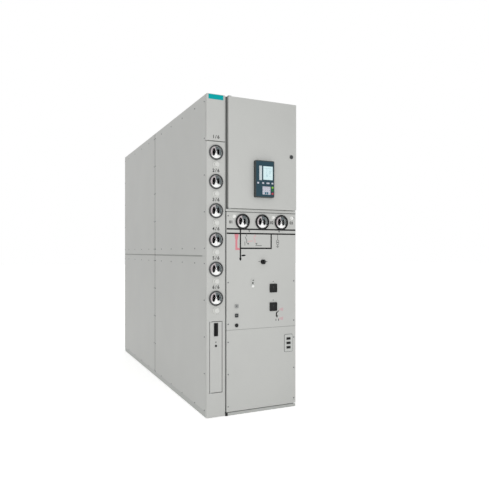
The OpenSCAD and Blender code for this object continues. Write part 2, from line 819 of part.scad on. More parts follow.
// Oval base and round collar with a grip bar across them
module selector_knob() color(black) {
  grip_l = knob_d * 0.8;
  grip_t = knob_d / 4;
  front_plate(knob_spot, [knob_d, knob_d * 0.84], knob_d * 0.4, knob_h / 3);
  on_front(knob_spot) {
    turned(knob_d * 0.4, knob_h * 2 / 3, knob_h / 13);
    translate([-grip_t / 2, -grip_l / 2, 0]) cube([grip_t, grip_l, knob_h]);
  }
}

module crank_shutters() color(black)
  for (spot = shutter_spots) {
    slide = shutter_size - [shutter_frame, shutter_frame] * 2;
    difference() {
      front_plate(spot, shutter_size, shutter_frame, shutter_t);
      front_plate(spot, slide, shutter_frame / 2, shutter_t, front - shutter_t / 2);
    }
    // Finger ridge of the sliding shutter
    front_plate(spot - [0, slide[1] / 4], [slide[0] * 0.6, shutter_t], shutter_t / 3, shutter_t * 0.85);
  }

module framed_window(spot, size, opening) difference() {
  front_plate(spot, size, size[0] / 8, indicator_t);
  front_plate(spot, opening, size[0] / 16, indicator_t, front - indicator_t / 2);
}

module board_indicators() color("#3a3c3e") {
  square_size = [indicator_w, indicator_w];
  difference() {
    front_plate(indicator_spots[0], square_size, indicator_w / 8, indicator_t);
    on_front(indicator_spots[0], front - indicator_t / 2) cylinder(d = indicator_w * 0.7, h = indicator_t);
  }
  framed_window(indicator_spots[1], square_size * 0.96, square_size * 0.66);
  on_front(indicator_spots[2]) {
    turned(indicator_w * 0.5, indicator_t, indicator_t / 6);
    turned(indicator_w * 0.36, indicator_t * 5 / 3, indicator_t / 3);
  }
  framed_window(flag_spot, flag_size, [flag_w * 0.64, flag_h / 2]);
}

module voltage_socket_plate() color("#d4d5d2")
  difference() {
    front_plate(socket_plate_spot, [socket_plate_w, socket_plate_h], socket_plate_w / 8, socket_plate_t);
    for (spot = socket_spots) on_front(spot, front + socket_plate_t)
      cylinder(d = socket_stem_d + fit_clear, h = 3 * socket_plate_t);
  }

// Cap closing a test socket: a rimmed head with a hollow in its face, on a stem in the plate
module voltage_socket_caps() color(black)
  for (spot = socket_spots) on_front(spot, front - socket_plate_t) {
    difference() {
      turned(socket_cap_d / 2, socket_cap_h, socket_cap_h / 4);
      translate([0, 0, socket_cap_h * 0.7]) cylinder(d = socket_cap_d / 2, h = socket_cap_h);
    }
    translate([0, 0, -socket_plate_t]) cylinder(d = socket_stem_d, h = socket_plate_t);
  }

base_side_rails();
base_cross_rails();
floor_plates();
front_posts();
joint_posts();
rear_posts();
seam_rails();
left_wall(front_wall, upper_wall);  // left_front_upper_wall
left_wall(front_wall, lower_wall);  // left_front_lower_wall
left_wall(rear_wall, upper_wall);  // left_rear_upper_wall
left_wall(rear_wall, lower_wall);  // left_rear_lower_wall
right_wall(front_wall, upper_wall);  // right_front_upper_wall
right_wall(front_wall, lower_wall);  // right_front_lower_wall
right_wall(rear_wall, upper_wall);  // right_rear_upper_wall
right_wall(rear_wall, lower_wall);  // right_rear_lower_wall
rear_panel(upper_wall);  // rear_upper_wall
rear_panel(lower_wall);  // rear_lower_wall
roof_plate(front + fold, joint - sheet / 2);  // roof_front_plate
roof_plate(joint + sheet / 2, rear - fold);  // roof_rear_plate
column_top_cover();
column_cover();
column_locker();
name_plate();
slim_door();
slim_door_grip();
slim_door_lock();
slim_door_pivots();
lv_floor();
lv_roof();
lv_left_wall();
lv_right_wall();
lv_back_wall();
lv_door();
lv_door_lock();
lv_door_pivots();
relay_case();
relay_panes();
relay_keys();
control_board();
lower_cover();
gauge_cases();
gauge_dials();
gauge_glasses();
gas_valve_caps();
selector_knob();
crank_shutters();
board_indicators();
voltage_socket_plate();
voltage_socket_caps();
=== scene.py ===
# %% [markdown]
# # A gas-insulated switchgear panel
# A floor-standing steel cabinet, about the height of a door and deeper than it is wide. A narrow column of
# round gas density gauges stands beside a board with a printed line diagram, and above that a hinged door
# carries a protection relay. The CAD model already has every sheet, door and fitting in its place, so this
# lesson loads it as a fixed frame and then adds what a CAD kernel is poor at: finishes, folded edges,
# print, dial faces, screws, light and a camera.

# %% Load the CAD frame
import json
import math

import bmesh
import bpy
from mathutils import Matrix, Vector


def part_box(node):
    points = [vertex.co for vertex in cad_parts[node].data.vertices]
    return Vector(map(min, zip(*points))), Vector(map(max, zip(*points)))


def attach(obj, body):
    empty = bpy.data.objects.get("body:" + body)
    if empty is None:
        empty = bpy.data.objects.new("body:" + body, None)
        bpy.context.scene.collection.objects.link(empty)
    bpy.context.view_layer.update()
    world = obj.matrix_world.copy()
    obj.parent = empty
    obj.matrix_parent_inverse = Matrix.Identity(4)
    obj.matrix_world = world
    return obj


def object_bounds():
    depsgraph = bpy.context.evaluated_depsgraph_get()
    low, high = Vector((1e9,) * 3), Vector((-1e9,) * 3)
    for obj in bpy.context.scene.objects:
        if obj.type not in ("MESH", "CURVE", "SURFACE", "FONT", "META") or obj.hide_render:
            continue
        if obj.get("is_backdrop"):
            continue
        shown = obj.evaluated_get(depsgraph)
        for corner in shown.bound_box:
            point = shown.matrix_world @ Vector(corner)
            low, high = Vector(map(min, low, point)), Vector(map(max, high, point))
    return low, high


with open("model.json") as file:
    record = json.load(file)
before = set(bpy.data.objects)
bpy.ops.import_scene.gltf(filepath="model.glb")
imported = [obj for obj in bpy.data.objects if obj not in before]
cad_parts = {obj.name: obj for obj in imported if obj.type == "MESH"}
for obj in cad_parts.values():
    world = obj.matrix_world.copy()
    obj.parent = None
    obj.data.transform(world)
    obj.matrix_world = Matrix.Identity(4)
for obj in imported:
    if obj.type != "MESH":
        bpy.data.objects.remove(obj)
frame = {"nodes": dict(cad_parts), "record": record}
nodes = frame["nodes"]
cad_low, cad_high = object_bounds()
MM = 0.001
scene = bpy.context.scene
scene.view_settings.view_transform = "Standard"
print("CAD pieces:", len(nodes), "box in metres:", list(cad_low), list(cad_high))

# %% [markdown]
# ## Camera
# The photograph was taken from the left of the front, a little above waist height, with the camera held
# level: upright edges stay upright. A level camera with a small lens shift repeats that. The focal length
# and the point where the lens axis meets the picture are in pixels of the photograph, which is how they
# were fitted.

# %% Camera at the photograph's place
PHOTO_WIDTH, PHOTO_HEIGHT = 489, 500
FOCAL_PIXELS = 489.63
AXIS_PIXEL_X, AXIS_PIXEL_Y = 220.0, 251.5
SENSOR_MM = 36.0
CAMERA_PLACE = (-1.69786, -4.571, 1.20759)
CAMERA_TURN_DEG = -23.578

camera_data = bpy.data.cameras.new("photo_camera")
camera_data.sensor_width = SENSOR_MM
camera_data.lens = SENSOR_MM * FOCAL_PIXELS / PHOTO_HEIGHT
camera_data.shift_x = (PHOTO_WIDTH / 2 - AXIS_PIXEL_X) / PHOTO_HEIGHT
camera_data.shift_y = (AXIS_PIXEL_Y - PHOTO_HEIGHT / 2) / PHOTO_HEIGHT
camera = bpy.data.objects.new("photo_camera", camera_data)
camera.location = CAMERA_PLACE
camera.rotation_euler = (math.radians(90), 0, math.radians(CAMERA_TURN_DEG))
scene.collection.objects.link(camera)
scene.camera = camera
print("lens:", round(camera_data.lens, 2), "mm")
print("shift:", round(camera_data.shift_x, 4), round(camera_data.shift_y, 4))

# %% [markdown]
# ## Tools for the finishes
# Colours are written as the sRGB hex values that a paint chart gives, and one function turns them into the
# linear numbers that shaders work with. Another adds one shader node with its settings and links, so that a
# finish reads as a short list. Patterns use object coordinates, which are metres here, so a pattern's scale
# is simply how many of its cells fit in a metre.

# %% Colour, pattern scale and node helper
def linear(hex_colour):
    """Turns an sRGB hex colour into linear red, green, blue and alpha."""
    channels = [int(hex_colour[i:i + 2], 16) / 255 for i in (1, 3, 5)]
    return [c / 12.92 if c <= 0.04045 else ((c + 0.055) / 1.055) ** 2.4 for c in channels] + [1.0]


def cells_per_metre(cell_mm):
    """Scale of a pattern whose cells are that many millimetres across."""
    return 1000 / cell_mm


def link(tree, node, sources):
    """Feeds sockets of a node from the outputs of other nodes."""
    for name, source in sources.items():
        tree.links.new(source, node.inputs[name])


def add(tree, kind, settings, sources):
    """Adds a shader node: settings fill its properties or free sockets, sources feed the others."""
    made = tree.nodes.new("ShaderNode" + kind)
    for name, value in settings.items():
        if name in made.bl_rna.properties.keys():
            setattr(made, name, value)
        else:
            made.inputs[name].default_value = value
    link(tree, made, sources)
    return made


def new_finish(name, hex_colour, roughness, metallic=0.0):
    """A material with a plain shader; gives back its tree, its shader and the pattern's coordinates."""
    material = bpy.data.materials.new(name)
    material.use_nodes = True
    tree = material.node_tree
    shader = tree.nodes["Principled BSDF"]
    shader.inputs["Base Color"].default_value = linear(hex_colour)
    shader.inputs["Roughness"].default_value = roughness
    shader.inputs["Metallic"].default_value = metallic
    place = add(tree, "TexCoord", {}, {}).outputs["Object"]
    return material, tree, shader, place


print("finish tools ready; mid grey is", [round(c, 3) for c in linear("#808080")])

# %% Patterns, blends and relief
MIX_A, MIX_B, MIX_RESULT = 6, 7, 2  # sockets of a Mix node that mixes colours


def noise(tree, place, cell_mm, detail):
    """Soft random pattern with cells of a size in millimetres."""
    settings = {"Scale": cells_per_metre(cell_mm), "Detail": detail}
    return add(tree, "TexNoise", settings, {"Vector": place}).outputs["Fac"]


def blend(tree, from_hex, to_hex, share):
    """Colour between two, where a pattern gives the share of the second."""
    settings = {"data_type": "RGBA", MIX_A: linear(from_hex), MIX_B: linear(to_hex)}
    return add(tree, "Mix", settings, {"Factor": share}).outputs[MIX_RESULT]


def spread(tree, value, low, high):
    """Pattern stretched from 0 and 1 to two other values."""
    return add(tree, "MapRange", {"To Min": low, "To Max": high}, {"Value": value}).outputs["Result"]


def relief(tree, height, strength, depth_m, below=None):
    """Surface that rises with a pattern, on top of another relief if there is one."""
    sources = {"Height": height, "Normal": below} if below else {"Height": height}
    return add(tree, "Bump", {"Strength": strength, "Distance": depth_m}, sources).outputs["Normal"]


print("a pattern with 5 mm cells has a scale of", cells_per_metre(5))

# %% [markdown]
# ## Powder-coated sheet steel
# Walls, covers and doors are folded sheet steel with a light grey polyester powder coat, sprayed dry and
# baked. The melt leaves a faint orange peel, and large sheets are never quite flat, which shows as slow
# changes of shade; that shading is drawn as a faint relief and also painted into the colour. The real peel
# is about 1 mm across, too fine for a picture where a pixel is 5 mm, so it is drawn at 6 mm. Close to the
# floor the paint is drawn a little darker, as painted shade.

# %% Powder coat for walls and covers
PEEL_MM, SHEET_WAVE_MM = 6, 380
# painted shade near the floor: the height where it ends and its darkest share
FLOOR_SHADE_TOP_M, FLOOR_SHADE_SHARE = 0.35, 0.2


def powder_coat(name, light_hex, dark_hex):
    """Baked powder coat; its colour drifts slowly between two greys as painted shading of the sheet waves."""
    material, tree, shader, place = new_finish(name, light_hex, 0.45)
    peel, wave = noise(tree, place, PEEL_MM, 2.0), noise(tree, place, SHEET_WAVE_MM, 3.0)
    height = add(tree, "SeparateXYZ", {}, {"Vector": place})
    # painted shade: the colour darkens towards the floor
    floor_shade = add(tree, "MapRange", {"From Max": FLOOR_SHADE_TOP_M, "To Min": FLOOR_SHADE_SHARE, "To Max": 0.0},
               {"Value": height.outputs["Z"]})
    # painted shading: the sheet waves also shift the colour between the two greys
    floor_shaded = add(tree, "Mix", {"data_type": "RGBA", MIX_B: linear(dark_hex)},
                {"Factor": floor_shade.outputs["Result"], MIX_A: blend(tree, dark_hex, light_hex, wave)})
    sheet = relief(tree, wave, 0.10, 0.02)
    link(tree, shader, {"Base Color": floor_shaded.outputs[MIX_RESULT], "Roughness": spread(tree, peel, 0.40, 0.52),
                        "Normal": relief(tree, peel, 0.12, 0.0004, sheet)})
    return material


wall_paint = powder_coat("powder_coated_steel_light_grey", "#CBCCC9", "#C3C4C1")
frame_paint = powder_coat("powder_coated_steel_base_grey", "#BFC1BE", "#B4B6B3")
print("paints:", wall_paint.name, frame_paint.name)

# %% [markdown]
# ## Zinc-coated steel
# Posts, floor plates and the locker are cut from hot-dip galvanised sheet and left unpainted. The zinc
# freezes in flat crystals, the spangle, 10 to 20 mm across, and each crystal reflects a little differently.
# A Voronoi pattern gives such cells, and its cell colour sets both the tint and the gloss.

# %% Galvanised sheet
SPANGLE_MM = 14
galvanised, tree, shader, place = new_finish("hot_dip_galvanised_sheet", "#A7ABAD", 0.45, 1.0)
spangle = add(tree, "TexVoronoi", {"Scale": cells_per_metre(SPANGLE_MM)}, {"Vector": place})
crystal = add(tree, "RGBToBW", {}, {"Color": spangle.outputs["Color"]}).outputs["Val"]
link(tree, shader, {"Base Color": blend(tree, "#989C9F", "#B6BABC", crystal),
                    "Roughness": spread(tree, crystal, 0.36, 0.54)})
print("spangle cells per metre:", round(cells_per_metre(SPANGLE_MM)))

# %% [markdown]
# ## Moulded plastics
# Knob, shutters, pull and the narrow door's lock are black polyamide, and the relay's case is
# slate-coloured ABS. Both come out of moulds with a spark-eroded surface, a fine matt grain that breaks up
# the highlight. The grain is near 0.3 mm in reality and is drawn at 1.5 mm so that it shows in a close
# view.

# %% Moulded plastic with an eroded grain
MOULD_GRAIN_MM, BLOOM_MM, GLOSS_SPREAD = 1.5, 30, 0.08


def moulded_plastic(name, hex_colour, worn_hex, roughness):
    """Matt moulding: even colour with a faint paler bloom and a fine grain that dulls the reflection."""
    material, tree, shader, place = new_finish(name, hex_colour, roughness)
    shader.inputs["Specular IOR Level"].default_value = 0.3
    grain, bloom = noise(tree, place, MOULD_GRAIN_MM, 2.0), noise(tree, place, BLOOM_MM, 3.0)
    link(tree, shader, {"Base Color": blend(tree, hex_colour, worn_hex, bloom),
                        "Roughness": spread(tree, grain, roughness - GLOSS_SPREAD, roughness + GLOSS_SPREAD),
                        "Normal": relief(tree, grain, 0.2, 0.0002)})
    return material


black_plastic = moulded_plastic("moulded_polyamide_black", "#0E0F0F", "#1A1B1B", 0.5)
relay_plastic = moulded_plastic("moulded_abs_slate", "#383D3D", "#404545", 0.45)
key_plastic = moulded_plastic("moulded_silicone_pale_keys", "#C9CAD6", "#D2D3DE", 0.55)
grey_plastic = moulded_plastic("moulded_polyamide_grey", "#9C9E9D", "#A6A8A7", 0.5)
iron_plastic = moulded_plastic("moulded_polyamide_iron_grey", "#3E4041", "#4A4C4D", 0.5)
pale_plastic = moulded_plastic("moulded_polycarbonate_pale", "#C6C8C5", "#CDCFCC", 0.4)
white_nylon = moulded_plastic("moulded_nylon_white", "#F4F5F2", "#FBFBF9", 0.35)
green_key = moulded_plastic("moulded_silicone_green", "#7FBE3C", "#8AC64A", 0.45)
dark_green_key = moulded_plastic("moulded_silicone_dark_green", "#1E7433", "#26803C", 0.45)
red_key = moulded_plastic("moulded_silicone_red", "#B4454E", "#BE525A", 0.45)
menu_key = moulded_plastic("moulded_silicone_dark_teal", "#1F5F74", "#286C82", 0.45)
print("plastics:", sum("moulded" in m.name for m in bpy.data.materials))

# %% [markdown]
# ## Metal fittings
# Pivots are steel with a thin bright plating, which keeps the tumbling marks of small parts as faint
# streaks. Screws are phosphated, which leaves fine crystals and a dull grey shine. Valve caps are die-cast
# and lacquered pale grey. The name plate is an aluminium plate printed teal all over with a matt ink.

# %% Plated and phosphated steel
def marked_steel(name, hex_colour, roughness, mark_mm, detail):
    """Bare or plated steel whose fine marks change its gloss."""
    material, tree, shader, place = new_finish(name, hex_colour, roughness, 1.0)
    marks = noise(tree, place, mark_mm, detail)
    link(tree, shader, {"Roughness": spread(tree, marks, roughness - 0.08, roughness + 0.12)})
    return material


plated_steel = marked_steel("nickel_plated_steel", "#B4B7B8", 0.3, 3, 4.0)
grey_screw = marked_steel("phosphated_steel_grey", "#74777A", 0.5, 1.5, 3.0)
print("steels:", plated_steel.name, grey_screw.name)

# %% Cast caps and printed plate
CASTING_MM = 4
ROLLING_MM = (60, 1, 1.2)  # size of a rolling mark along X, Y and Z
cast_cap, tree, shader, place = new_finish("die_cast_lacquered_pale", "#DCDDD9", 0.35)
casting = noise(tree, place, CASTING_MM, 3.0)
link(tree, shader, {"Base Color": blend(tree, "#D3D4D0", "#E3E4E1", casting),
                    "Normal": relief(tree, casting, 0.15, 0.0003)})

teal_plate, tree, shader, place = new_finish("printed_aluminium_teal", "#00A0A4", 0.5)
rolling = add(tree, "Mapping", {"Scale": [cells_per_metre(size) for size in ROLLING_MM]}, {"Vector": place})
lines = add(tree, "TexNoise", {"Scale": 1.0, "Detail": 2.0}, {"Vector": rolling.outputs["Vector"]})
shader.inputs["Specular IOR Level"].default_value = 0.1
link(tree, shader, {"Base Color": blend(tree, "#00A2A6", "#00B4B7", lines.outputs["Fac"])})
print("fittings:", cast_cap.name, teal_plate.name)

# %% [markdown]
# ## Gauge finishes
# A gauge has a stove-enamelled case, a white enamelled dial and a flat glass. Enamel is thick and glossy
# with a soft waviness. The glass is thin, flat and coated against glare, so instead of bending light
# through a block it only adds the mirror image that it shows: a bright mirror whose opacity is its Fresnel
# reflection, about 0.5% straight on, as on coated glass.

# %% Enamel and instrument glass
FLOW_MM, COATED_GLASS_IOR = 12, 1.15


def enamel(name, light_hex, dark_hex, roughness, shine=0.5, lacquer=0.3):
    """Stoved enamel: glossy, with a slow waviness and a slight drift of shade."""
    material, tree, shader, place = new_finish(name, light_hex, roughness)
    flow = noise(tree, place, FLOW_MM, 1.0)
    shader.inputs["Specular IOR Level"].default_value = shine
    shader.inputs["Coat Weight"].default_value = lacquer
    link(tree, shader, {"Base Color": blend(tree, dark_hex, light_hex, flow),
                        "Normal": relief(tree, flow, 0.08, 0.0005)})
    return material


case_enamel = enamel("stoved_enamel_graphite", "#3A3C3D", "#313334", 0.32)
case_black = enamel("stoved_enamel_black", "#121314", "#0E0F10", 0.40, 0.3, 0.0)
dial_enamel = enamel("stoved_enamel_white", "#F1F2EF", "#E9EAE7", 0.30)

instrument_glass, tree, shader, place = new_finish("flat_instrument_glass", "#FFFFFF", 0.03, 1.0)
mirror_share = add(tree, "Fresnel", {"IOR": COATED_GLASS_IOR}, {})
link(tree, shader, {"Alpha": mirror_share.outputs["Fac"]})
print("gauge finishes:", case_enamel.name, case_black.name, dial_enamel.name, instrument_glass.name)

# %% [markdown]
# ## Print and film
# The line diagram is cut from self-adhesive film, and the dial marks are screen printed. Both are thin,
# matt layers with a fine mottle where the ink or film follows the grain below. One function makes them all.

# %% Inks and films
FILM_MOTTLE_MM = 4


def film(name, hex_colour, pale_hex, painted_glow=0.0, shine=0.15):
    """Matt printed film with a fine mottle; a weak emission can give white ink a painted glow that makes it
    brighter.
    """
    material, tree, shader, place = new_finish(name, hex_colour, 0.6)
    mottle = noise(tree, place, FILM_MOTTLE_MM, 3.0)
    link(tree, shader, {"Base Color": blend(tree, hex_colour, pale_hex, mottle)})
    shader.inputs["Specular IOR Level"].default_value = shine
    # painted glow: emission of white ink, zero for all but the white print
    shader.inputs["Emission Color"].default_value = linear("#FFFFFF")
    shader.inputs["Emission Strength"].default_value = painted_glow
    return material


black_film = film("cut_film_black", "#111213", "#141516")
dial_black = film("screen_print_black", "#050506", "#060607", 0.0, 0.04)
red_film = film("cut_film_faded_red", "#DA8791", "#E0929C")
pink_film = film("cut_film_pale_pink", "#DEA9AD", "#E5B7BA")
blush_film = film("screen_print_blush", "#CDB2B5", "#D3BBBD")
soot_film = film("screen_print_soot", "#3A3C3B", "#404241")
grey_film = film("cut_film_grey", "#6B6D6C", "#777978")
# painted glow: the white print emits a little light to look brighter
white_film = film("screen_print_white", "#FAFBF9", "#FFFFFF", 0.12)
slate_film = film("screen_print_slate", "#687173", "#737C7E")
ash_film = film("screen_print_ash", "#858A8A", "#8E9393")
rose_film = film("screen_print_rose", "#D0C6C9", "#DAD1D3")
foil_print = film("screen_print_blue_slate", "#2D4753", "#324D59")
screen_ink = film("liquid_crystal_line", "#7FA3AE", "#8BADB7")
print("films:", sum("film" in m.name or "print" in m.name for m in bpy.data.materials))

# %% [markdown]
# ## Display window
# The relay's display and its lamp strip sit behind polycarbonate windows. The display is lit from behind,
# so it is a touch brighter than paint of the same colour: a weak emission of the same tint does that.

# %% Display window
BACKLIGHT_MM = 45
display_pane, tree, shader, place = new_finish("polycarbonate_lit_display", "#D3EDF2", 0.12)
backlight = noise(tree, place, BACKLIGHT_MM, 1.0)
link(tree, shader, {"Base Color": blend(tree, "#C6E6EC", "#E2F5F8", backlight)})
shader.inputs["Emission Color"].default_value = linear("#D8F2F6")
shader.inputs["Emission Strength"].default_value = 0.08
lamp_window = moulded_plastic("polycarbonate_pale_strip", "#D5DEE2", "#DFE7EA", 0.3)
print("windows:", display_pane.name, lamp_window.name)

# %% [markdown]
# ## Finishes on the CAD pieces
# Each CAD piece names a material slot in its record. A table from slot to finish dresses them all. A few
# pieces hold solids of different finishes, such as the keys of the relay: there each face takes its finish
# from the solid it belongs to, and no vertex moves.

# %% Dress the CAD pieces
FINISH_OF_SLOT = {
    "wall_paint": wall_paint, "frame_paint": frame_paint, "galvanised_sheet": galvanised,
    "teal_plate": teal_plate, "black_plastic": black_plastic, "lock_steel": plated_steel,
    "relay_plastic": relay_plastic, "relay_pane": display_pane, "key_plastic": key_plastic,
    "gauge_enamel": case_enamel, "dial_white": dial_enamel, "gauge_glass": instrument_glass,
    "cap_alloy": cast_cap, "plate_grey": pale_plastic,
}
for part in frame["record"]["subparts"]:
    mesh = nodes[part["node"]].data
    mesh.materials.clear()
    mesh.materials.append(FINISH_OF_SLOT[part["material_slot"]])

# %% [markdown]
# ## Finding the solids inside a piece
# The gauges, keys and caps are each one CAD piece with several solids. The prints have to sit exactly on
# them, so a helper measures each solid: it joins the vertices that share a place, walks from edge to edge,
# and gives the box of each connected part, from the top row down and from left to right.

# %% Boxes of the separate solids
SAME_PLACE_M, FACE_SLACK_MM = 1e-6, 0.1


def solids_of(node_name):
    """Lowest and highest corner of each separate solid in a CAD piece, top row first."""
    work = bmesh.new()
    work.from_mesh(nodes[node_name].data)
    bmesh.ops.remove_doubles(work, verts=work.verts, dist=SAME_PLACE_M)
    unseen, boxes = set(work.verts), []
    while unseen:
        front, part = [unseen.pop()], []
        while front:
            vertex = front.pop()
            part.append(vertex.co.copy())
            for edge in vertex.link_edges:
                other = edge.other_vert(vertex)
                if other in unseen:
                    unseen.remove(other)
                    front.append(other)
        boxes.append((Vector(map(min, zip(*part))), Vector(map(max, zip(*part)))))
    work.free()
    return sorted(boxes, key=lambda box: (-round(box[1].z, 3), box[0].x))


def middle(box):
    """Middle of a box as seen from the front: x and z."""
    return (box[0].x + box[1].x) / 2, (box[0].z + box[1].z) / 2


def of_board(boxes):
    """Those of some solids that sit on the board, not on the column."""
    return [box for box in boxes if box[0].x > board_low.x]


def give_faces(node_name, chosen_boxes, material):
    """Gives the faces of the chosen solids another finish."""
    slack = FACE_SLACK_MM * MM
    mesh = nodes[node_name].data
    mesh.materials.append(material)
    for face in mesh.polygons:
        x, z = face.center.x, face.center.z
        for low, high in chosen_boxes:
            if low.x - slack <= x <= high.x + slack and low.z - slack <= z <= high.z + slack:
                face.material_index = len(mesh.materials) - 1


print("the gauge cases are", len(solids_of("gauge_cases")), "solids")

# %% Solids and boxes that the next cells need
gauge_dials = solids_of("gauge_dials")
relay_keys = solids_of("relay_keys")
strip_pane, screen_pane = sorted(solids_of("relay_panes"), key=lambda box: box[0].x)
indicators = solids_of("board_indicators")
shutters = solids_of("crank_shutters")
board_low, board_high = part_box("control_board")
cover_low, cover_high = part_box("lower_cover")
column_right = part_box("column_cover")[1].x
front_y = board_low.y
print("gauges:", len(gauge_dials), "keys:", len(relay_keys), "indicators:", len(indicators))

# %% [markdown]
# ## Different finishes inside one piece
# The gauges on the board have black rings and white caps, those of the column graphite rings and cast caps.
# The relay's three keys at the right are green, dark green and red, and the two menu keys at the foot of
# the keypad are dark teal. Of the indicators, the tall flag is pale, the top square grey and the one below
# it iron grey. The lamp strip has a paler window than the display, and the lock of the control door is iron
# grey.

# %% Second finishes
SAME_COLUMN_MM, KEYS_IN_FOOT_ROW = 2, 4
give_faces("gauge_cases", of_board(solids_of("gauge_cases")), case_black)
give_faces("gas_valve_caps", of_board(solids_of("gas_valve_caps")), white_nylon)
give_faces("relay_panes", [strip_pane], lamp_window)
nodes["lv_door_lock"].data.materials[0] = iron_plastic

side_key_x = max(box[0].x for box in relay_keys)
side_keys = [box for box in relay_keys if abs(box[0].x - side_key_x) < SAME_COLUMN_MM * MM][-3:]
for key, finish in zip(side_keys, (green_key, dark_green_key, red_key)):
    give_faces("relay_keys", [key], finish)
keys_by_height = sorted((key for key in relay_keys if key not in side_keys), key=lambda box: box[0].z)
foot_row = sorted(keys_by_height[:KEYS_IN_FOOT_ROW], key=lambda box: box[0].x)
give_faces("relay_keys", foot_row[1:3], menu_key)

flag = max(indicators, key=lambda box: box[1].z - box[0].z)
top_indicator, middle_indicator = [box for box in indicators if box is not flag][:2]
for box, finish in ((flag, pale_plastic), (top_indicator, grey_plastic), (middle_indicator, iron_plastic)):
    give_faces("board_indicators", [box], finish)
print("side keys at heights", [round(middle(key)[1], 3) for key in side_keys], "flag at", middle(flag))

# %% [markdown]
# ## Folded edges
# A press brake leaves a rounded edge where sheet is folded, and that edge catches a thin line of light. The
# CAD edges are sharp, so a bevel rounds them. The imported faces don't share vertices, so a weld joins them
# first, and where round cut-outs split a flat face into thin triangles, those are merged again. All are
# modifiers: the CAD mesh itself stays as it is.

# %% Round the folds of the sheet-metal pieces
SHEET_WALLS = [name for name in nodes if name.endswith("_wall") and not name.startswith("lv_")]
FOLDED_TO_RADIUS_MM = {
    1.6: SHEET_WALLS + ["column_top_cover", "lower_cover", "lv_door", "relay_case"],
    1.2: ["column_cover", "control_board", "slim_door"],
    1.0: ["base_side_rails", "base_cross_rails"],
    0.8: ["lv_floor", "lv_right_wall", "crank_shutters", "selector_knob"],
    0.6: ["slim_door_grip", "voltage_socket_plate"],
    0.5: ["relay_keys", "board_indicators"],
    0.4: ["name_plate"],
}
WITH_ROUND_CUTS = ["column_cover", "control_board", "lv_door", "relay_case", "crank_shutters",
                   "selector_knob", "slim_door_grip", "name_plate", "relay_keys", "voltage_socket_plate",
                   "board_indicators"]
JOIN_MM, FLAT_DEG, FOLD_DEG, FOLD_STEPS = 0.01, 0.5, 40, 3


def round_folds(part, radius_mm, has_round_cuts):
    """Welds the faces of a CAD piece, merges flat ones if asked, and rounds its edges."""
    weld = part.modifiers.new("join_faces", "WELD")
    weld.merge_threshold = JOIN_MM * MM
    if has_round_cuts:
        flat = part.modifiers.new("merge_flat_faces", "DECIMATE")
        flat.decimate_type = "DISSOLVE"
        flat.angle_limit = math.radians(FLAT_DEG)
    fold = part.modifiers.new("fold_radius", "BEVEL")
    fold.width = radius_mm * MM
    fold.segments = FOLD_STEPS
    fold.limit_method = "ANGLE"
    fold.angle_limit = math.radians(FOLD_DEG)
    fold.harden_normals = True


for radius_mm, names in FOLDED_TO_RADIUS_MM.items():
    for name in names:
        round_folds(nodes[name], radius_mm, name in WITH_ROUND_CUTS)
print("rounded the folds of", sum(len(names) for names in FOLDED_TO_RADIUS_MM.values()), "pieces")

# %% [markdown]
# ## Flat outlines
# Everything printed or cut from film is a flat outline with a real thickness. Small functions give the
# outlines in the plane of the front: a bar along a line, a disc, a band of a ring, a leaf and so on.
# Another turns a list of outlines into one closed mesh that stands a quarter of a millimetre in front of
# its face.

# %% Outline functions
def bar(start, end, width):
    """A straight strip from start to end."""
    start, end = Vector(start), Vector(end)
    along = (end - start).normalized() * width / 2
    across = Vector((-along.y, along.x))
    return [start - across, end - across, end + across, start + across]


def arc_points(centre, radius, from_deg, to_deg, count):
    """Points on an arc, angles counted from the right and upwards."""
    angles = [math.radians(from_deg + (to_deg - from_deg) * i / (count - 1)) for i in range(count)]
    return [Vector(centre) + radius * Vector((math.cos(a), math.sin(a))) for a in angles]


def disc(centre, radius):
    """A full disc of 24 points."""
    return arc_points(centre, radius, 0, 345, 24)


def band(centre, inner, outer, from_deg, to_deg):
    """Part of a ring between two radii."""
    count = max(3, round(abs(to_deg - from_deg) / 6))
    return (arc_points(centre, outer, from_deg, to_deg, count)
            + arc_points(centre, inner, to_deg, from_deg, count))


def ring(centre, inner, outer):
    """A ring, open by one degree so that it stays a single outline."""
    return band(centre, inner, outer, 0, 359)


def leaf(low, high, half_width):
    """A pointed leaf between two tips."""
    axis = Vector(high) - Vector(low)
    side = Vector((axis.y, -axis.x)).normalized() * half_width
    steps = [i / 8 for i in range(9)]
    swell = [math.sin(math.pi * step) ** 0.8 for step in steps]
    right = [Vector(low) + axis * step + side * width for step, width in zip(steps, swell)]
    left = [Vector(low) + axis * step - side * width for step, width in zip(steps, swell)]
    return right + left[-2:0:-1]


def plate_outline(centre, size, radius):
    """A rectangle with rounded corners."""
    outline = []
    for turn, right, up in ((0, 1, 1), (90, -1, 1), (180, -1, -1), (270, 1, -1)):
        reach = Vector((right * (size[0] / 2 - radius), up * (size[1] / 2 - radius)))
        outline += arc_points(Vector(centre) + reach, radius, turn, turn + 90, 5)
    return outline


print("a full disc has", len(disc((0, 0), 1)), "points")

# %% Pieces from meshes
FRONT, REAR, LEFT, RIGHT, UP = (0, -1, 0), (0, 1, 0), (-1, 0, 0), (1, 0, 0), (0, 0, 1)


def ride_body(name, mesh, finish, body):
    """Makes an object of a mesh; it has one finish and rides a CAD body."""
    mesh.materials.clear()
    mesh.materials.append(finish)
    made = bpy.data.objects.new(name, mesh)
    scene.collection.objects.link(made)
    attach(made, body)


def piece(name, work, finish, body="housing"):
    """Turns a bmesh into an object that rides a CAD body."""
    bmesh.ops.recalc_face_normals(work, faces=work.faces)
    mesh = bpy.data.meshes.new(name)
    work.to_mesh(mesh)
    work.free()
    ride_body(name, mesh, finish, body)


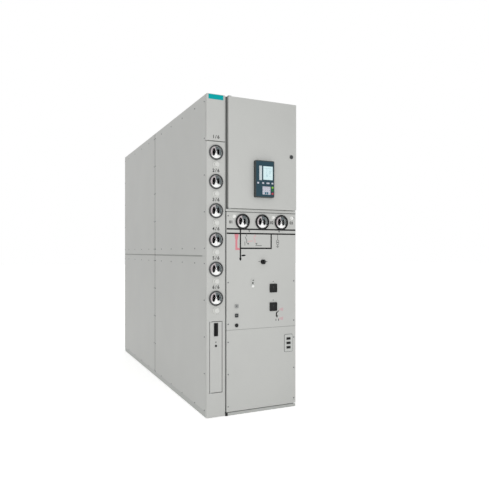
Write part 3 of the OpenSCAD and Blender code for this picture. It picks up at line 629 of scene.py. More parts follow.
def skin(work, loops):
    """Joins loops of equally many points into a closed body with a flat face at each end."""
    rows = [[work.verts.new(point) for point in loop] for loop in loops]
    for row, next_row in zip(rows, rows[1:]):
        for i in range(len(row)):
            j = (i + 1) % len(row)
            work.faces.new((row[i], row[j], next_row[j], next_row[i]))
    work.faces.new(rows[0][::-1])
    work.faces.new(rows[-1])


# %% Pieces from outlines and numbers
FILM_RISE_MM, FILM_SINK_MM, HAIR_MM, HAIR_STEPS = 0.25, 0.05, 0.01, 8
CAPITAL_SHARE, BOLDER_SHARE = 0.7, 0.025  # of the size of the font


def raise_outlines(name, outlines, face_y, finish, rise_mm=FILM_RISE_MM, body="housing"):
    """One piece from flat outlines on a front face; neighbours differ by a hair, so none share a plane."""
    work = bmesh.new()
    for count, outline in enumerate(outlines):
        rise = rise_mm + HAIR_MM * (count % HAIR_STEPS)
        depths = (face_y + FILM_SINK_MM * MM, face_y - rise * MM)
        skin(work, [[(x, y, z) for x, z in outline] for y in depths])
    piece(name, work, finish, body)


def numeral(name, text, centre, face_y, height_mm, finish, spacing=1.0, body="housing"):
    """A printed number, centred on its place on a front face."""
    curve = bpy.data.curves.new(name, "FONT")
    curve.body = text
    curve.size = height_mm * MM / CAPITAL_SHARE
    curve.align_x = curve.align_y = "CENTER"
    curve.offset = BOLDER_SHARE * curve.size
    curve.space_character = spacing
    curve.extrude = FILM_RISE_MM * MM / 2
    shape = bpy.data.objects.new(name, curve)
    shape.rotation_euler.x = math.radians(90)
    shape.location = (centre[0], face_y - FILM_RISE_MM * MM / 2, centre[1])
    scene.collection.objects.link(shape)
    bpy.context.view_layer.update()
    mesh = bpy.data.meshes.new_from_object(shape.evaluated_get(bpy.context.evaluated_depsgraph_get()))
    mesh.transform(shape.matrix_world)
    bpy.data.objects.remove(shape)
    ride_body(name, mesh, finish, body)


print("film stands", FILM_RISE_MM, "mm in front of its face")

# %% [markdown]
# ## Gauge dials
# Each dial is white enamel with printed fields: two dark oval windows beside a white lane that widens into
# a white foot, a slate sector at the right and a rose one at the left. On the gauges of the board the lower
# part of the slate sector is a paler ash, and a dark line runs round the edge. Printing is built up in thin
# layers, each a little further forward, as on the real dial. All places are shares of the radius.

# %% Places and outlines on a dial
PRINT_EDGE = 0.97


def dial_radius(dial):
    """Radius of a dial."""
    return (dial[1].x - dial[0].x) / 2


def on_dial(dial, across, up):
    """Point on a dial, in shares of its radius from the middle."""
    return Vector(middle(dial)) + dial_radius(dial) * Vector((across, up))


def dial_oval(dial, centre, half_width, half_height, lean_deg):
    """An oval on a dial that leans to the right, in shares of the radius."""
    lean = Matrix.Rotation(-math.radians(lean_deg), 2)
    points = [lean @ Vector((half_width * x, half_height * z)) for x, z in disc((0, 0), 1)]
    return [on_dial(dial, *(Vector(centre) + point)) for point in points]


def dial_arc(dial, from_deg, to_deg):
    """Points along the edge of a dial's print."""
    return arc_points(middle(dial), PRINT_EDGE * dial_radius(dial), from_deg, to_deg, 20)


def dial_sectors(dials, from_deg, to_deg):
    """Sectors from the middle to the edge of the print, one on each dial."""
    return [[on_dial(dial, 0, 0)] + dial_arc(dial, from_deg, to_deg) for dial in dials]


dial_face_y = gauge_dials[0][0].y
print("dial radius", round(dial_radius(gauge_dials[0]) / MM, 1), "mm, face at y", round(dial_face_y, 4))

# %% Printed fields of the dials
FOOT_FROM_DEG, FOOT_TO_DEG, TOP_DEG, ASH_DEG = 213, 327, 98, 48
COLUMN_LANE = [(0.27, -0.53), (0.15, -0.05), (0.10, 0.24), (-0.03, 0.24), (-0.10, -0.10), (-0.21, -0.53)]
BOARD_LANE = [(0.26, -0.52), (0.15, -0.05), (0.10, 0.24), (-0.08, 0.24), (-0.14, -0.05), (-0.25, -0.52)]
COLUMN_WINDOWS = [((-0.40, 0.05), 0.28, 0.64, 5), ((0.37, 0.09), 0.23, 0.50, 0)]
BOARD_WINDOWS = [((-0.39, 0.06), 0.28, 0.58, 4), ((0.34, 0.00), 0.21, 0.52, 0)]
DARK_EDGE_FROM, DARK_EDGE_TO, LAYER_MM = 0.94, 0.985, 0.2
board_dials = of_board(gauge_dials)
column_dials = [dial for dial in gauge_dials if dial not in board_dials]
slate_sectors = dial_sectors(column_dials, FOOT_TO_DEG - 360, TOP_DEG)
slate_sectors += dial_sectors(board_dials, ASH_DEG, TOP_DEG)
ash_sectors = dial_sectors(board_dials, FOOT_TO_DEG - 360, ASH_DEG)
rose_sectors = dial_sectors(gauge_dials, TOP_DEG, FOOT_FROM_DEG)
white_lanes, dark_windows, dark_edges = [], [], []
for dials, lane, windows in ((column_dials, COLUMN_LANE, COLUMN_WINDOWS),
                             (board_dials, BOARD_LANE, BOARD_WINDOWS)):
    for dial in dials:
        foot = dial_arc(dial, FOOT_FROM_DEG, FOOT_TO_DEG)
        white_lanes.append(foot + [on_dial(dial, *spot) for spot in lane])
    for window in windows:
        dark_windows += [dial_oval(dial, *window) for dial in dials]
for dial in board_dials:
    inner, outer = DARK_EDGE_FROM * dial_radius(dial), DARK_EDGE_TO * dial_radius(dial)
    dark_edges += [band(middle(dial), inner, outer, turn, turn + 180) for turn in (0, 180)]
for name, outlines, finish, slot, layer in (
        ("dial_ash_sectors", ash_sectors, ash_film, "dial_white", 1),
        ("dial_dark_edges", dark_edges, dial_black, "black_plastic", 4),
        ("dial_slate_sectors", slate_sectors, slate_film, "dial_white", 1),
        ("dial_rose_sectors", rose_sectors, rose_film, "dial_white", 1),
        ("dial_white_lanes", white_lanes, white_film, "dial_white", 2),
        ("dial_dark_windows", dark_windows, dial_black, "black_plastic", 3)):
    raise_outlines(name, outlines, dial_face_y, finish, layer * LAYER_MM)
print("printed", len(column_dials), "dials on the column and", len(board_dials), "on the board")

# %% [markdown]
# ## Scales and pointers
# Close up, a gauge is read by its pointer against a row of ticks. The ticks are short radial bars, every
# fifth one longer. The pointer is a tapered blade with a short tail, and its hub is a turned boss, made
# here as stacked rings like the screws further on.

# %% Turned bodies
RING_POINTS = 24


def rings(work, centre, outward, profile_mm, hexagons=0):
    """Adds a turned body from rings of a radius and a height; the last of them can be hexagons."""
    turn = Vector(outward).to_track_quat("Z", "Y")
    loops = []
    for count, (radius, height) in enumerate(profile_mm):
        is_hexagon = count >= len(profile_mm) - hexagons
        loop = []
        for i in range(RING_POINTS):
            angle = 2 * math.pi * i / RING_POINTS
            facet = (angle + math.pi / 6) % (math.pi / 3) - math.pi / 6
            reach = radius * (math.cos(math.pi / 6) / math.cos(facet) if is_hexagon else 1)
            point = Vector((reach * math.cos(angle), reach * math.sin(angle), height)) * MM
            loop.append(Vector(centre) + turn @ point)
        loops.append(loop)
    skin(work, loops)


print("each ring has", RING_POINTS, "points")

# %% Dial scales, pointers and hubs
TICK_COUNT, LONG_TICK_EVERY, TICK_START_DEG, TICK_SWEEP_DEG = 31, 5, 225, -270
TICK_FROM, LONG_TICK_FROM, TICK_TO, TICK_MM = 0.83, 0.78, 0.90, 0.7
POINTER_DEG, POINTER_REACH, POINTER_CLEAR_MM, POINTER_MM = 118, 0.82, 1.2, 0.4
TAIL_REACH, TAIL_SPREAD_DEG = 0.2, 12
HUB_PROFILE = [(3.0, 0.0), (3.0, 1.6), (2.5, 2.1), (0.9, 2.3)]


def dial_ray(dial, angle_deg, reach):
    """Point on a dial in a direction, at a share of its radius."""
    angle = math.radians(angle_deg)
    return on_dial(dial, reach * math.cos(angle), reach * math.sin(angle))


ticks, pointers, hubs = [], [], bmesh.new()
for dial in gauge_dials:
    for i in range(TICK_COUNT):
        angle = TICK_START_DEG + TICK_SWEEP_DEG * i / (TICK_COUNT - 1)
        start = TICK_FROM if i % LONG_TICK_EVERY else LONG_TICK_FROM
        ticks.append(bar(dial_ray(dial, angle, start), dial_ray(dial, angle, TICK_TO), TICK_MM * MM))
    tail_deg = POINTER_DEG + 180
    pointers.append([dial_ray(dial, POINTER_DEG, POINTER_REACH),
                     dial_ray(dial, tail_deg - TAIL_SPREAD_DEG, TAIL_REACH),
                     dial_ray(dial, tail_deg + TAIL_SPREAD_DEG, TAIL_REACH)])
    x, z = middle(dial)
    rings(hubs, (x, dial_face_y, z), FRONT, HUB_PROFILE)
pointer_y = dial_face_y - POINTER_CLEAR_MM * MM
raise_outlines("dial_scales", ticks, dial_face_y, black_film, 3 * LAYER_MM)
raise_outlines("dial_pointers", pointers, pointer_y, black_film, POINTER_MM)
piece("dial_hubs", hubs, plated_steel)
print("ticks:", len(ticks), "pointers:", len(pointers))

# %% [markdown]
# ## Screws
# Covers and walls are held by pan-head screws with a hexagon socket, 10 mm across. In the picture they are
# a pixel or two wide, but their rows tell how the sheets are fixed. A head is a few rings, the last two of
# them hexagonal for the socket. Rows follow the edges of the CAD boxes, so they stay on their sheets.

# %% Screw heads on the board and the lower cover
HEAD_PROFILE = [(5.0, -0.2), (5.0, 0.8), (4.5, 1.9), (3.5, 2.5), (2.7, 2.6), (2.6, 2.5), (2.4, 1.0)]
SOCKET_RINGS = 2
LEFT_EDGE_MM, RIGHT_EDGE_MM, TOP_EDGE_MM = 13, 17, 28
BOARD_ROWS_MM, COVER_ROWS_MM = (43, 349), (513, 277, 40)


def screw_heads(name, places, outward):
    """One piece with a screw head at each place."""
    heads = bmesh.new()
    for place in places:
        rings(heads, place, outward, HEAD_PROFILE, SOCKET_RINGS)
    piece(name, heads, grey_screw)


board_rows = [board_low.z + up * MM for up in BOARD_ROWS_MM] + [board_high.z - TOP_EDGE_MM * MM]
cover_rows = [cover_low.z + up * MM for up in COVER_ROWS_MM]
edge_columns = [board_low.x + LEFT_EDGE_MM * MM, board_high.x - RIGHT_EDGE_MM * MM]
for name, rows in (("board_screws", board_rows), ("lower_cover_screws", cover_rows)):
    screw_heads(name, [(x, front_y, z) for x in edge_columns for z in rows], FRONT)
print("front screws:", len(edge_columns) * (len(board_rows) + len(cover_rows)))

# %% Screw heads on the walls
WALL_EDGE_MM, SEAM_EDGE_MM, WALL_TOP_MM = 17, 50, 20
UP_STEP_MM, WALL_ROWS, ALONG_STEP_MM, WALL_COLUMNS = 267.5, 5, 293, 4
side_walls = [name for name in SHEET_WALLS if not name.startswith("rear")]
for name in side_walls:
    low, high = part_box(name)
    x, outward = (low.x, LEFT) if name.startswith("left") else (high.x, RIGHT)
    first, step = low.z + SEAM_EDGE_MM * MM, UP_STEP_MM * MM
    if "lower" in name:
        first, step = high.z - SEAM_EDGE_MM * MM, -step
    heights = [first + i * step for i in range(WALL_ROWS)]
    heights = [z for z in heights if low.z < z < high.z - WALL_TOP_MM * MM]
    ends = [low.y + WALL_EDGE_MM * MM, high.y - WALL_EDGE_MM * MM]
    shifts = [(i - (WALL_COLUMNS - 1) / 2) * ALONG_STEP_MM * MM for i in range(WALL_COLUMNS)]
    places = [(x, y, z) for y in ends for z in heights]
    places += [(x, (low.y + high.y) / 2 + shift, z) for shift in shifts for z in (heights[0], heights[-1])]
    screw_heads(name + "_screws", places, outward)
for name in ("rear_upper_wall", "rear_lower_wall"):
    low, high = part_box(name)
    foot, top = low.z + SEAM_EDGE_MM * MM, high.z - SEAM_EDGE_MM * MM
    heights = [foot + (top - foot) * i / (WALL_ROWS - 1) for i in range(WALL_ROWS)]
    columns = [low.x + WALL_EDGE_MM * MM, high.x - WALL_EDGE_MM * MM]
    screw_heads(name + "_screws", [(x, high.y, z) for x in columns for z in heights], REAR)
print("screwed walls:", len(side_walls), "at the sides and 2 at the rear")

# %% [markdown]
# ## Line diagram on the board
# The black strips show how the busbars, the outgoing line and the switches are joined, the red one is the
# earth connection. Two busbars run right across the board, behind the rims of the gauges. All places are
# measured from the left edge and the lower edge of the board.

# %% Film strips of the line diagram
BOARD_WIDTH_MM = (board_high.x - board_low.x) / MM
STRIP_MM, EDGE_GAP_MM = 11, 1.5
UPPER_BUS_MM, LOWER_BUS_MM, LOOP_MM, LINE_END_MM, BRANCH_MM = 744, 711.5, 601.5, 508, 546
LINE_X_MM, LOOP_X_MM, EARTH_X_MM = 113, 374, 81
LEAF_MM, LEAF_LAP_MM, LEAF_HALF_MM = 32, 10, 9
BRANCH_FROM_MM, BRANCH_TO_MM, BRANCH_RISE_MM, BRANCH_HALF_MM = 4, 46, 4, 6.5
EARTH_END_MM = LINE_X_MM - EARTH_X_MM - 6
EARTH_OUTLINE_MM = [(-17, 706), (17, 706), (14, 684), (7, 660), (7, 606), (EARTH_END_MM, 602),
                    (EARTH_END_MM, 589), (-10, 589), (-9, 660), (-14, 684)]


def on_board(right_mm, up_mm):
    """Point on the board, from its lower left corner."""
    return Vector((board_low.x + right_mm * MM, board_low.z + up_mm * MM))


def bars(place, width_mm, ends_mm):
    """Strips of one width, each between two points that a function places."""
    return [bar(place(*start), place(*end), width_mm * MM) for start, end in ends_mm]


bus_end_mm = BOARD_WIDTH_MM - EDGE_GAP_MM
strips = bars(on_board, STRIP_MM, [
    ((EDGE_GAP_MM, UPPER_BUS_MM), (bus_end_mm, UPPER_BUS_MM)),
    ((EDGE_GAP_MM, LOWER_BUS_MM), (bus_end_mm, LOWER_BUS_MM)),
    ((LINE_X_MM, UPPER_BUS_MM), (LINE_X_MM, LINE_END_MM + LEAF_MM - LEAF_LAP_MM)),
    ((LINE_X_MM, LOOP_MM), (LOOP_X_MM, LOOP_MM)),
    ((LOOP_X_MM, LOWER_BUS_MM), (LOOP_X_MM, LOOP_MM - STRIP_MM / 2)),
])
line_leaf = on_board(LINE_X_MM, LINE_END_MM), on_board(LINE_X_MM, LINE_END_MM + LEAF_MM)
branch_leaf = (on_board(LINE_X_MM + BRANCH_FROM_MM, BRANCH_MM),
               on_board(LINE_X_MM + BRANCH_TO_MM, BRANCH_MM + BRANCH_RISE_MM))
strips += [leaf(*line_leaf, LEAF_HALF_MM * MM), leaf(*branch_leaf, BRANCH_HALF_MM * MM)]
earth = [on_board(EARTH_X_MM + right, up) for right, up in EARTH_OUTLINE_MM]
raise_outlines("diagram_black_strips", strips, front_y, black_film)
raise_outlines("diagram_earth_strip", [earth], front_y, red_film)
print("strips:", len(strips), "board width", round(BOARD_WIDTH_MM), "mm")

# %% [markdown]
# ## Small symbols of the diagram
# Thin grey and pink lines mark the voltage transformer, a disconnector and an earthing switch, as such
# diagrams do. Numbers stand beside the gauges, only as place numbers, in the plain built-in font. The knob
# has a grey line on its grip and a short grey mark on each side.

# %% Thin symbols of the diagram
FINE_MM, COIL_INNER_MM, COIL_OUTER_MM = 4.5, 8, 12
TRANSFORMER_X_MM, SWITCH_X_MM, EARTHING_X_MM = 431, 165, 235
ARROW_SPOTS_MM = [(SWITCH_X_MM + 12, 625), (EARTHING_X_MM + 12, 625), (187, 720), (444, 720)]
ARROW_HALF_MM, ARROW_HEIGHT_MM = 9, 16
fine_grey = bars(on_board, FINE_MM, [((TRANSFORMER_X_MM, LOWER_BUS_MM), (TRANSFORMER_X_MM, 667))])
for up in (656, 640):
    coil = on_board(TRANSFORMER_X_MM, up)
    fine_grey.append(ring(coil, COIL_INNER_MM * MM, COIL_OUTER_MM * MM))
fine_grey += bars(on_board, FINE_MM, [
    ((TRANSFORMER_X_MM, 628), (TRANSFORMER_X_MM, 617)),
    ((TRANSFORMER_X_MM - 12, 617), (TRANSFORMER_X_MM + 12, 617)),
    ((TRANSFORMER_X_MM - 6, 609), (TRANSFORMER_X_MM + 6, 609)),
    ((SWITCH_X_MM, LOWER_BUS_MM), (SWITCH_X_MM, 690)),
    ((SWITCH_X_MM, 662), (SWITCH_X_MM - 12, 688)),
    ((SWITCH_X_MM, 664), (SWITCH_X_MM, 640)),
    ((EARTHING_X_MM + 5, 622), (EARTHING_X_MM + 57, 622)),
])
for right, up in ARROW_SPOTS_MM:
    wings = [on_board(right + half, up + ARROW_HEIGHT_MM) for half in (-ARROW_HALF_MM, ARROW_HALF_MM)]
    fine_grey.append([wings[0], on_board(right, up), wings[1]])
fine_grey += bars(on_board, FINE_MM, [((SWITCH_X_MM - 15, 652), (SWITCH_X_MM - 15, 622))])
fine_pink = bars(on_board, FINE_MM, [
    ((EARTHING_X_MM, LOWER_BUS_MM), (EARTHING_X_MM, 692)),
    ((EARTHING_X_MM - 10, 692), (EARTHING_X_MM + 10, 692)),
    ((EARTHING_X_MM, 662), (EARTHING_X_MM - 12, 686)),
    ((EARTHING_X_MM, 664), (EARTHING_X_MM, 643)),
    ((SWITCH_X_MM + 10, 652), (EARTHING_X_MM - 18, 657)),
])
raise_outlines("diagram_grey_symbols", fine_grey, front_y, grey_film)
raise_outlines("diagram_pink_symbols", fine_pink, front_y, pink_film)
print("fine symbols:", len(fine_grey) + len(fine_pink))

# %% Knob marks and numbers on the board
KNOB_MARK_OUT_MM, KNOB_MARK_UP_MM, KNOB_LINE_UP_MM = 32, 2, 9
BOARD_NUMBER_SPOTS_MM, BOARD_NUMBER_MM = [(36, 794), (379, 796), (553, 798)], 21


def plate_at(box, right_mm, up_mm, width_mm, height_mm, corner_mm):
    """A rounded rectangle, placed from the middle of a solid."""
    centre = Vector(middle(box)) + Vector((right_mm, up_mm)) * MM
    return plate_outline(centre, (width_mm * MM, height_mm * MM), corner_mm * MM)


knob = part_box("selector_knob")
knob_marks = [plate_at(knob, side * KNOB_MARK_OUT_MM, KNOB_MARK_UP_MM, 13, 5, 2) for side in (-1, 1)]
knob_line = plate_at(knob, 0, KNOB_LINE_UP_MM, 2.4, 9, 1)
raise_outlines("knob_marks", knob_marks, front_y, grey_film)
raise_outlines("knob_pointer", [knob_line], knob[0].y, grey_film)
for number, spot in enumerate(BOARD_NUMBER_SPOTS_MM, 1):
    numeral(f"board_gauge_number_{number}", f"0{number}", on_board(*spot), front_y, BOARD_NUMBER_MM,
            black_film)
print("numbered", len(BOARD_NUMBER_SPOTS_MM), "gauges of the board")

# %% [markdown]
# ## Marks round the shutters and in the indicators
# Below the lower shutter a bent arrow with two pink pointers shows which way the crank turns. Each shutter
# has a keyhole mark on its slide and a small pointer mark above it. The flag indicator has a grey head, a
# dark dot and a white foot. Of the square indicators, the top one shows a grey dot and the one below it a
# grey bar.

# %% Crank arrow and shutter marks
CRANK_X_MM, CRANK_UP_MM = 440, 98
CRANK_POINTER_MM = [(3, -5), (40, -14), (40, 14), (3, 5)]
MARK_ABOVE_MM, SLIDE_FRONT_MM, KEYHOLE_RISE_MM = 16, 3.5, 0.5
KEYHOLE_UP_MM, KEYHOLE_RADIUS_MM, SLOT_FROM_MM, SLOT_TO_MM, SLOT_MM = 9, 4.5, 7, -6, 4


def by_crank(right_mm, up_mm):
    """Point on the board, from the middle of the crank arrow."""
    return on_board(CRANK_X_MM + right_mm, CRANK_UP_MM + up_mm)


crank_marks = [
    band(by_crank(0, 0), 15 * MM, 25 * MM, 115, 215),
    [by_crank(-28, -11), by_crank(-6, -11), by_crank(-14, -30)],
]
crank_marks += bars(by_crank, 3.5, [((-1, 28), (-1, 14))])
crank_marks += bars(by_crank, 5, [((-1, -36), (-1, -54)), ((-24, -36), (-24, -52))])
keyholes = []
for box in shutters:
    x, z = middle(box)
    above = Vector((x, box[1].z + MARK_ABOVE_MM * MM))
    crank_marks.append([above + Vector(shift) * MM for shift in ((-5, 4), (0, -4), (5, 4))])
    keyholes.append(disc((x, z + KEYHOLE_UP_MM * MM), KEYHOLE_RADIUS_MM * MM))
    keyholes.append(bar((x, z + SLOT_FROM_MM * MM), (x, z + SLOT_TO_MM * MM), SLOT_MM * MM))
pink_pointers = []
for up in (34, -36):
    pink_pointers.append([by_crank(right, up + rise) for right, rise in CRANK_POINTER_MM])
slide_y = front_y - SLIDE_FRONT_MM * MM
raise_outlines("crank_black_marks", crank_marks, front_y, black_film)
raise_outlines("shutter_keyholes", keyholes, slide_y, soot_film, KEYHOLE_RISE_MM)
raise_outlines("crank_pink_triangles", pink_pointers, front_y, blush_film)
print("crank marks:", len(crank_marks), "pointers:", len(pink_pointers))

# %% Indicator faces
WINDOW_FLOOR_MM, FACE_RISE_MM = 3, 0.8
FLAG_DOT_UP_MM, FLAG_DOT_RADIUS_MM, WINDOW_DOT_RADIUS_MM = 2, 6, 5
window_y = front_y - WINDOW_FLOOR_MM * MM
flag_x, flag_z = middle(flag)
flag_dot = disc((flag_x, flag_z + FLAG_DOT_UP_MM * MM), FLAG_DOT_RADIUS_MM * MM)
raise_outlines("flag_head", [plate_at(flag, 2, 22, 12, 9, 2)], flag[0].y, grey_film)
raise_outlines("flag_dot", [flag_dot], window_y, black_film, FACE_RISE_MM)
raise_outlines("flag_foot", [plate_at(flag, 0, -22.5, 21, 17, 5)], flag[0].y, white_nylon)
window_bar = plate_at(middle_indicator, 0, 0, 15, 5, 1.5)
raise_outlines("indicator_bar", [window_bar], window_y, grey_film, FACE_RISE_MM)
window_dot = disc(middle(top_indicator), WINDOW_DOT_RADIUS_MM * MM)
raise_outlines("indicator_mark", [window_dot], window_y, grey_film, FACE_RISE_MM)
print("flag at", round(flag_x, 3), round(flag_z, 3), "its floor", WINDOW_FLOOR_MM, "mm in front of the board")

# %% [markdown]
# ## Numbers of the column
# Each gauge in the column has its place number above it, counted out of the row, such as 2/6. The narrow
# door has a small printed dot above its lock.

# %% Gauge numbers and the mark on the narrow door
TOP_NUMBER_ABOVE_MM, NUMBER_ABOVE_MM, NUMBER_MM, NUMBER_SPACING = 113, 80, 23, 1.4
LOCK_MARK_UP_MM, LOCK_MARK_RADIUS_MM = 27, 5
count = len(column_dials)
for number, dial in enumerate(column_dials, 1):
    x, z = middle(dial)
    above = (TOP_NUMBER_ABOVE_MM if number == 1 else NUMBER_ABOVE_MM) * MM
    numeral(f"gauge_number_{number}", f"{number}/{count}", (x, z + above), front_y, NUMBER_MM, black_film,
            NUMBER_SPACING)
lock_x, lock_z = middle(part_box("slim_door_lock"))
lock_mark = disc((lock_x, lock_z + LOCK_MARK_UP_MM * MM), LOCK_MARK_RADIUS_MM * MM)
raise_outlines("slim_door_mark", [lock_mark], front_y, grey_film, body="slim_door_leaf")
print("numbered", count, "column gauges")

# %% [markdown]
# ## Voltage sockets
# The six sockets sit in pairs in black insulating bases. Round the plate that holds them a thin dark frame
# is painted shadow: it stands for the plate's shadow line. Both are flat shapes that follow the boxes of the
# CAD caps and plate.

# %% Socket bases and the painted shadow line round the plate
BASE_EDGE_MM, BASE_HEIGHT_MM, BASE_CORNER_MM, BASE_RISE_MM = 1, 19, 2, 0.9
# painted shadow line round the plate: its width, corner and rise
SHADOW_LINE_MM, SHADOW_LINE_CORNER_MM, SHADOW_LINE_RISE_MM = 2.5, 9, 0.8


def edges(boxes, gap_mm):
    """Left, foot, right and top of a rectangle that far outside some boxes, seen from the front."""
    gap = gap_mm * MM
    return (min(low.x for low, high in boxes) - gap, min(low.z for low, high in boxes) - gap,
            max(high.x for low, high in boxes) + gap, max(high.z for low, high in boxes) + gap)


def plate_round(boxes, gap_mm, corner_mm):
    """A rounded rectangle that far outside some boxes."""
    left, foot, right, top = edges(boxes, gap_mm)
    return plate_outline(((left + right) / 2, (foot + top) / 2), (right - left, top - foot), corner_mm * MM)


socket_caps = solids_of("voltage_socket_caps")
socket_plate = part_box("voltage_socket_plate")
socket_bases = []
for pair in zip(socket_caps[0::2], socket_caps[1::2]):
    left, foot, right, top = edges(pair, BASE_EDGE_MM)
    centre, size = ((left + right) / 2, middle(pair[0])[1]), (right - left, BASE_HEIGHT_MM * MM)
    socket_bases.append(plate_outline(centre, size, BASE_CORNER_MM * MM))
# painted shadow: a dark frame round the plate stands for its shadow line
plate_shadow_line = plate_round([socket_plate], SHADOW_LINE_MM, SHADOW_LINE_CORNER_MM)
raise_outlines("socket_bases", socket_bases, socket_plate[0].y, black_plastic, BASE_RISE_MM)
raise_outlines("socket_plate_shadow_line", [plate_shadow_line], front_y, iron_plastic, SHADOW_LINE_RISE_MM)
print("socket bases:", len(socket_bases))

# %% [markdown]
# ## Sealing strips
# Rubber strips keep dust out of the slots: along the level seam and the upright joint of the walls, under
# and beside the control door, and above and below the board. A gasket runs round the inner face of that
# door. They are extruded with a crowned face, so the profile is a half oval on two short legs, and it runs
# straight along its slot just behind the sheet. Towards the front the level seam ends in a short painted
# filler.

# %% Rubber and its crowned profile
pale_rubber = moulded_plastic("extruded_rubber_pale_grey", "#A2A4A1", "#AAACA9", 0.6)
mid_rubber = moulded_plastic("extruded_rubber_mid_grey", "#707271", "#787A79", 0.6)
dark_rubber = moulded_plastic("extruded_rubber_dark_grey", "#303231", "#383A39", 0.6)
CROWN_MM, LEG_MM, CROWN_STEPS = 1.5, 3.0, 8


def seal_strips(name, runs, finish, body="housing"):
    """Rubber strips: each run has its two ends, the direction across, the direction outward and its width."""
    work = bmesh.new()
    for start, end, across, outward, width in runs:
        angles = [math.pi * i / CROWN_STEPS for i in range(CROWN_STEPS + 1)]
        profile = [(width / 2 * math.cos(a), CROWN_MM * MM * math.sin(a)) for a in angles]
        profile += [(-width / 2, -LEG_MM * MM), (width / 2, -LEG_MM * MM)]
        shifts = [Vector(across) * side + Vector(outward) * rise for side, rise in profile]
        skin(work, [[Vector(point) + shift for shift in shifts] for point in (start, end)])
    piece(name, work, finish, body)


print("the crown of a strip stands", CROWN_MM, "mm high")

# %% Strips in the slots of the walls
RECESS_MM, JOINT_RECESS_MM, SEAM_END_MM = 2.0, 0.4, 60
wall_low, joint_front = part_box("left_front_upper_wall")
joint_rear, rear_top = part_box("left_rear_upper_wall")
below_low, below_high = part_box("left_front_lower_wall")
seam_z, seam_width = (wall_low.z + below_high.z) / 2, wall_low.z - below_high.z
joint_y, joint_width = (joint_front.y + joint_rear.y) / 2, joint_rear.y - joint_front.y
seam_start = wall_low.y + SEAM_END_MM * MM
side_x = cad_high.x - (RECESS_MM + CROWN_MM) * MM
rear_y = rear_top.y - (RECESS_MM + CROWN_MM) * MM
joint_x = cad_high.x - (JOINT_RECESS_MM + CROWN_MM) * MM
seam_runs = [((-side_x, rear_y, seam_z), (side_x, rear_y, seam_z), UP, REAR, seam_width)]
seam_ends, joint_runs = [], []
for side, outward in ((-1, LEFT), (1, RIGHT)):
    x = side * side_x
    seam_runs.append(((x, seam_start, seam_z), (x, rear_top.y, seam_z), UP, outward, seam_width))
    x = side * joint_x
    seam_ends.append(((x, wall_low.y, seam_z), (x, seam_start, seam_z), UP, outward, seam_width))
    joint_runs.append(((x, joint_y, below_low.z), (x, joint_y, rear_top.z), REAR, outward, joint_width))
seal_strips("wall_seam_seals", seam_runs, pale_rubber)
seal_strips("wall_joint_seals", joint_runs, dark_rubber)
seal_strips("wall_seam_ends", seam_ends, wall_paint)
print("seam", round(seam_width / MM, 1), "mm, joint", round(joint_width / MM, 1), "mm")

# %% Strips and gasket of the board and the control door
SEAL_RECESS_MM, DOOR_CLEAR_MM, SLOT_DEPTH_MM, SLOT_WIDTH_MM = 0.6, 1.5, 13, 24
DOOR_SHEET_MM, GASKET_STANDS_MM, GASKET_WIDTH_MM = 2, 6, 12
HINGE_SIDE_MM, DOOR_EDGE_MM = 36, 20
lip_low, lip_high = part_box("lv_floor")
door_low, door_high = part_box("lv_door")
seal_y = front_y + (SEAL_RECESS_MM + CROWN_MM) * MM
slot_x, slot_y = column_right + SLOT_WIDTH_MM / 2 * MM, front_y + SLOT_DEPTH_MM * MM
gaps = [  # each seal that lies level: its finish, where it starts and ends, and the gap that it fills
    ("board_top_seal", mid_rubber, board_low.x, board_high.x, board_high.z, lip_low.z),
    ("board_foot_seal", pale_rubber, board_low.x, board_high.x, cover_high.z, board_low.z),
    ("door_foot_seal", pale_rubber, door_low.x, door_high.x, lip_high.z, door_low.z - DOOR_CLEAR_MM * MM),
]
for name, finish, left, right, foot, top in gaps:
    z = (foot + top) / 2
    seal_strips(name, [((left, seal_y, z), (right, seal_y, z), UP, FRONT, top - foot)], finish)
    print(name, round((top - foot) / MM, 1), "mm")
slot_run = ((slot_x, slot_y, door_low.z), (slot_x, slot_y, door_high.z), RIGHT, FRONT, SLOT_WIDTH_MM * MM)
seal_strips("door_slot_seal", [slot_run], mid_rubber)
inner_y = door_low.y + (DOOR_SHEET_MM + GASKET_STANDS_MM - CROWN_MM) * MM
left, right = door_low.x + HINGE_SIDE_MM * MM, door_high.x - DOOR_EDGE_MM * MM
foot, top = door_low.z + DOOR_EDGE_MM * MM, door_high.z - DOOR_EDGE_MM * MM
gasket_width = GASKET_WIDTH_MM * MM
gasket_runs = [((left, inner_y, z), (right, inner_y, z), UP, REAR, gasket_width) for z in (foot, top)]
gasket_runs += [((x, inner_y, foot), (x, inner_y, top), RIGHT, REAR, gasket_width) for x in (left, right)]
seal_strips("door_gasket", gasket_runs, dark_rubber, "lv_door_leaf")

# %% [markdown]
# ## Edge trim round the narrow door
# The cut edge of the opening round the narrow door is covered by a clip-on trim in the colour of the paint.
# It closes the gap to a fine line, as on the photograph, and leaves the door room to swing. It is a frame
# of four mitred strips, worked out from the box of the door.

# %% Trim in the opening of the narrow door
TRIM_INNER_MM, TRIM_OUTER_MM, TRIM_DEPTH_MM, TRIM_BEHIND_MM = 4.5, 8.5, 4.0, 0.2


def corners(left, foot, right, top):
    """Corners of a rectangle, from the lower left one to the right and round."""
    return [Vector((left, foot)), Vector((right, foot)), Vector((right, top)), Vector((left, top))]


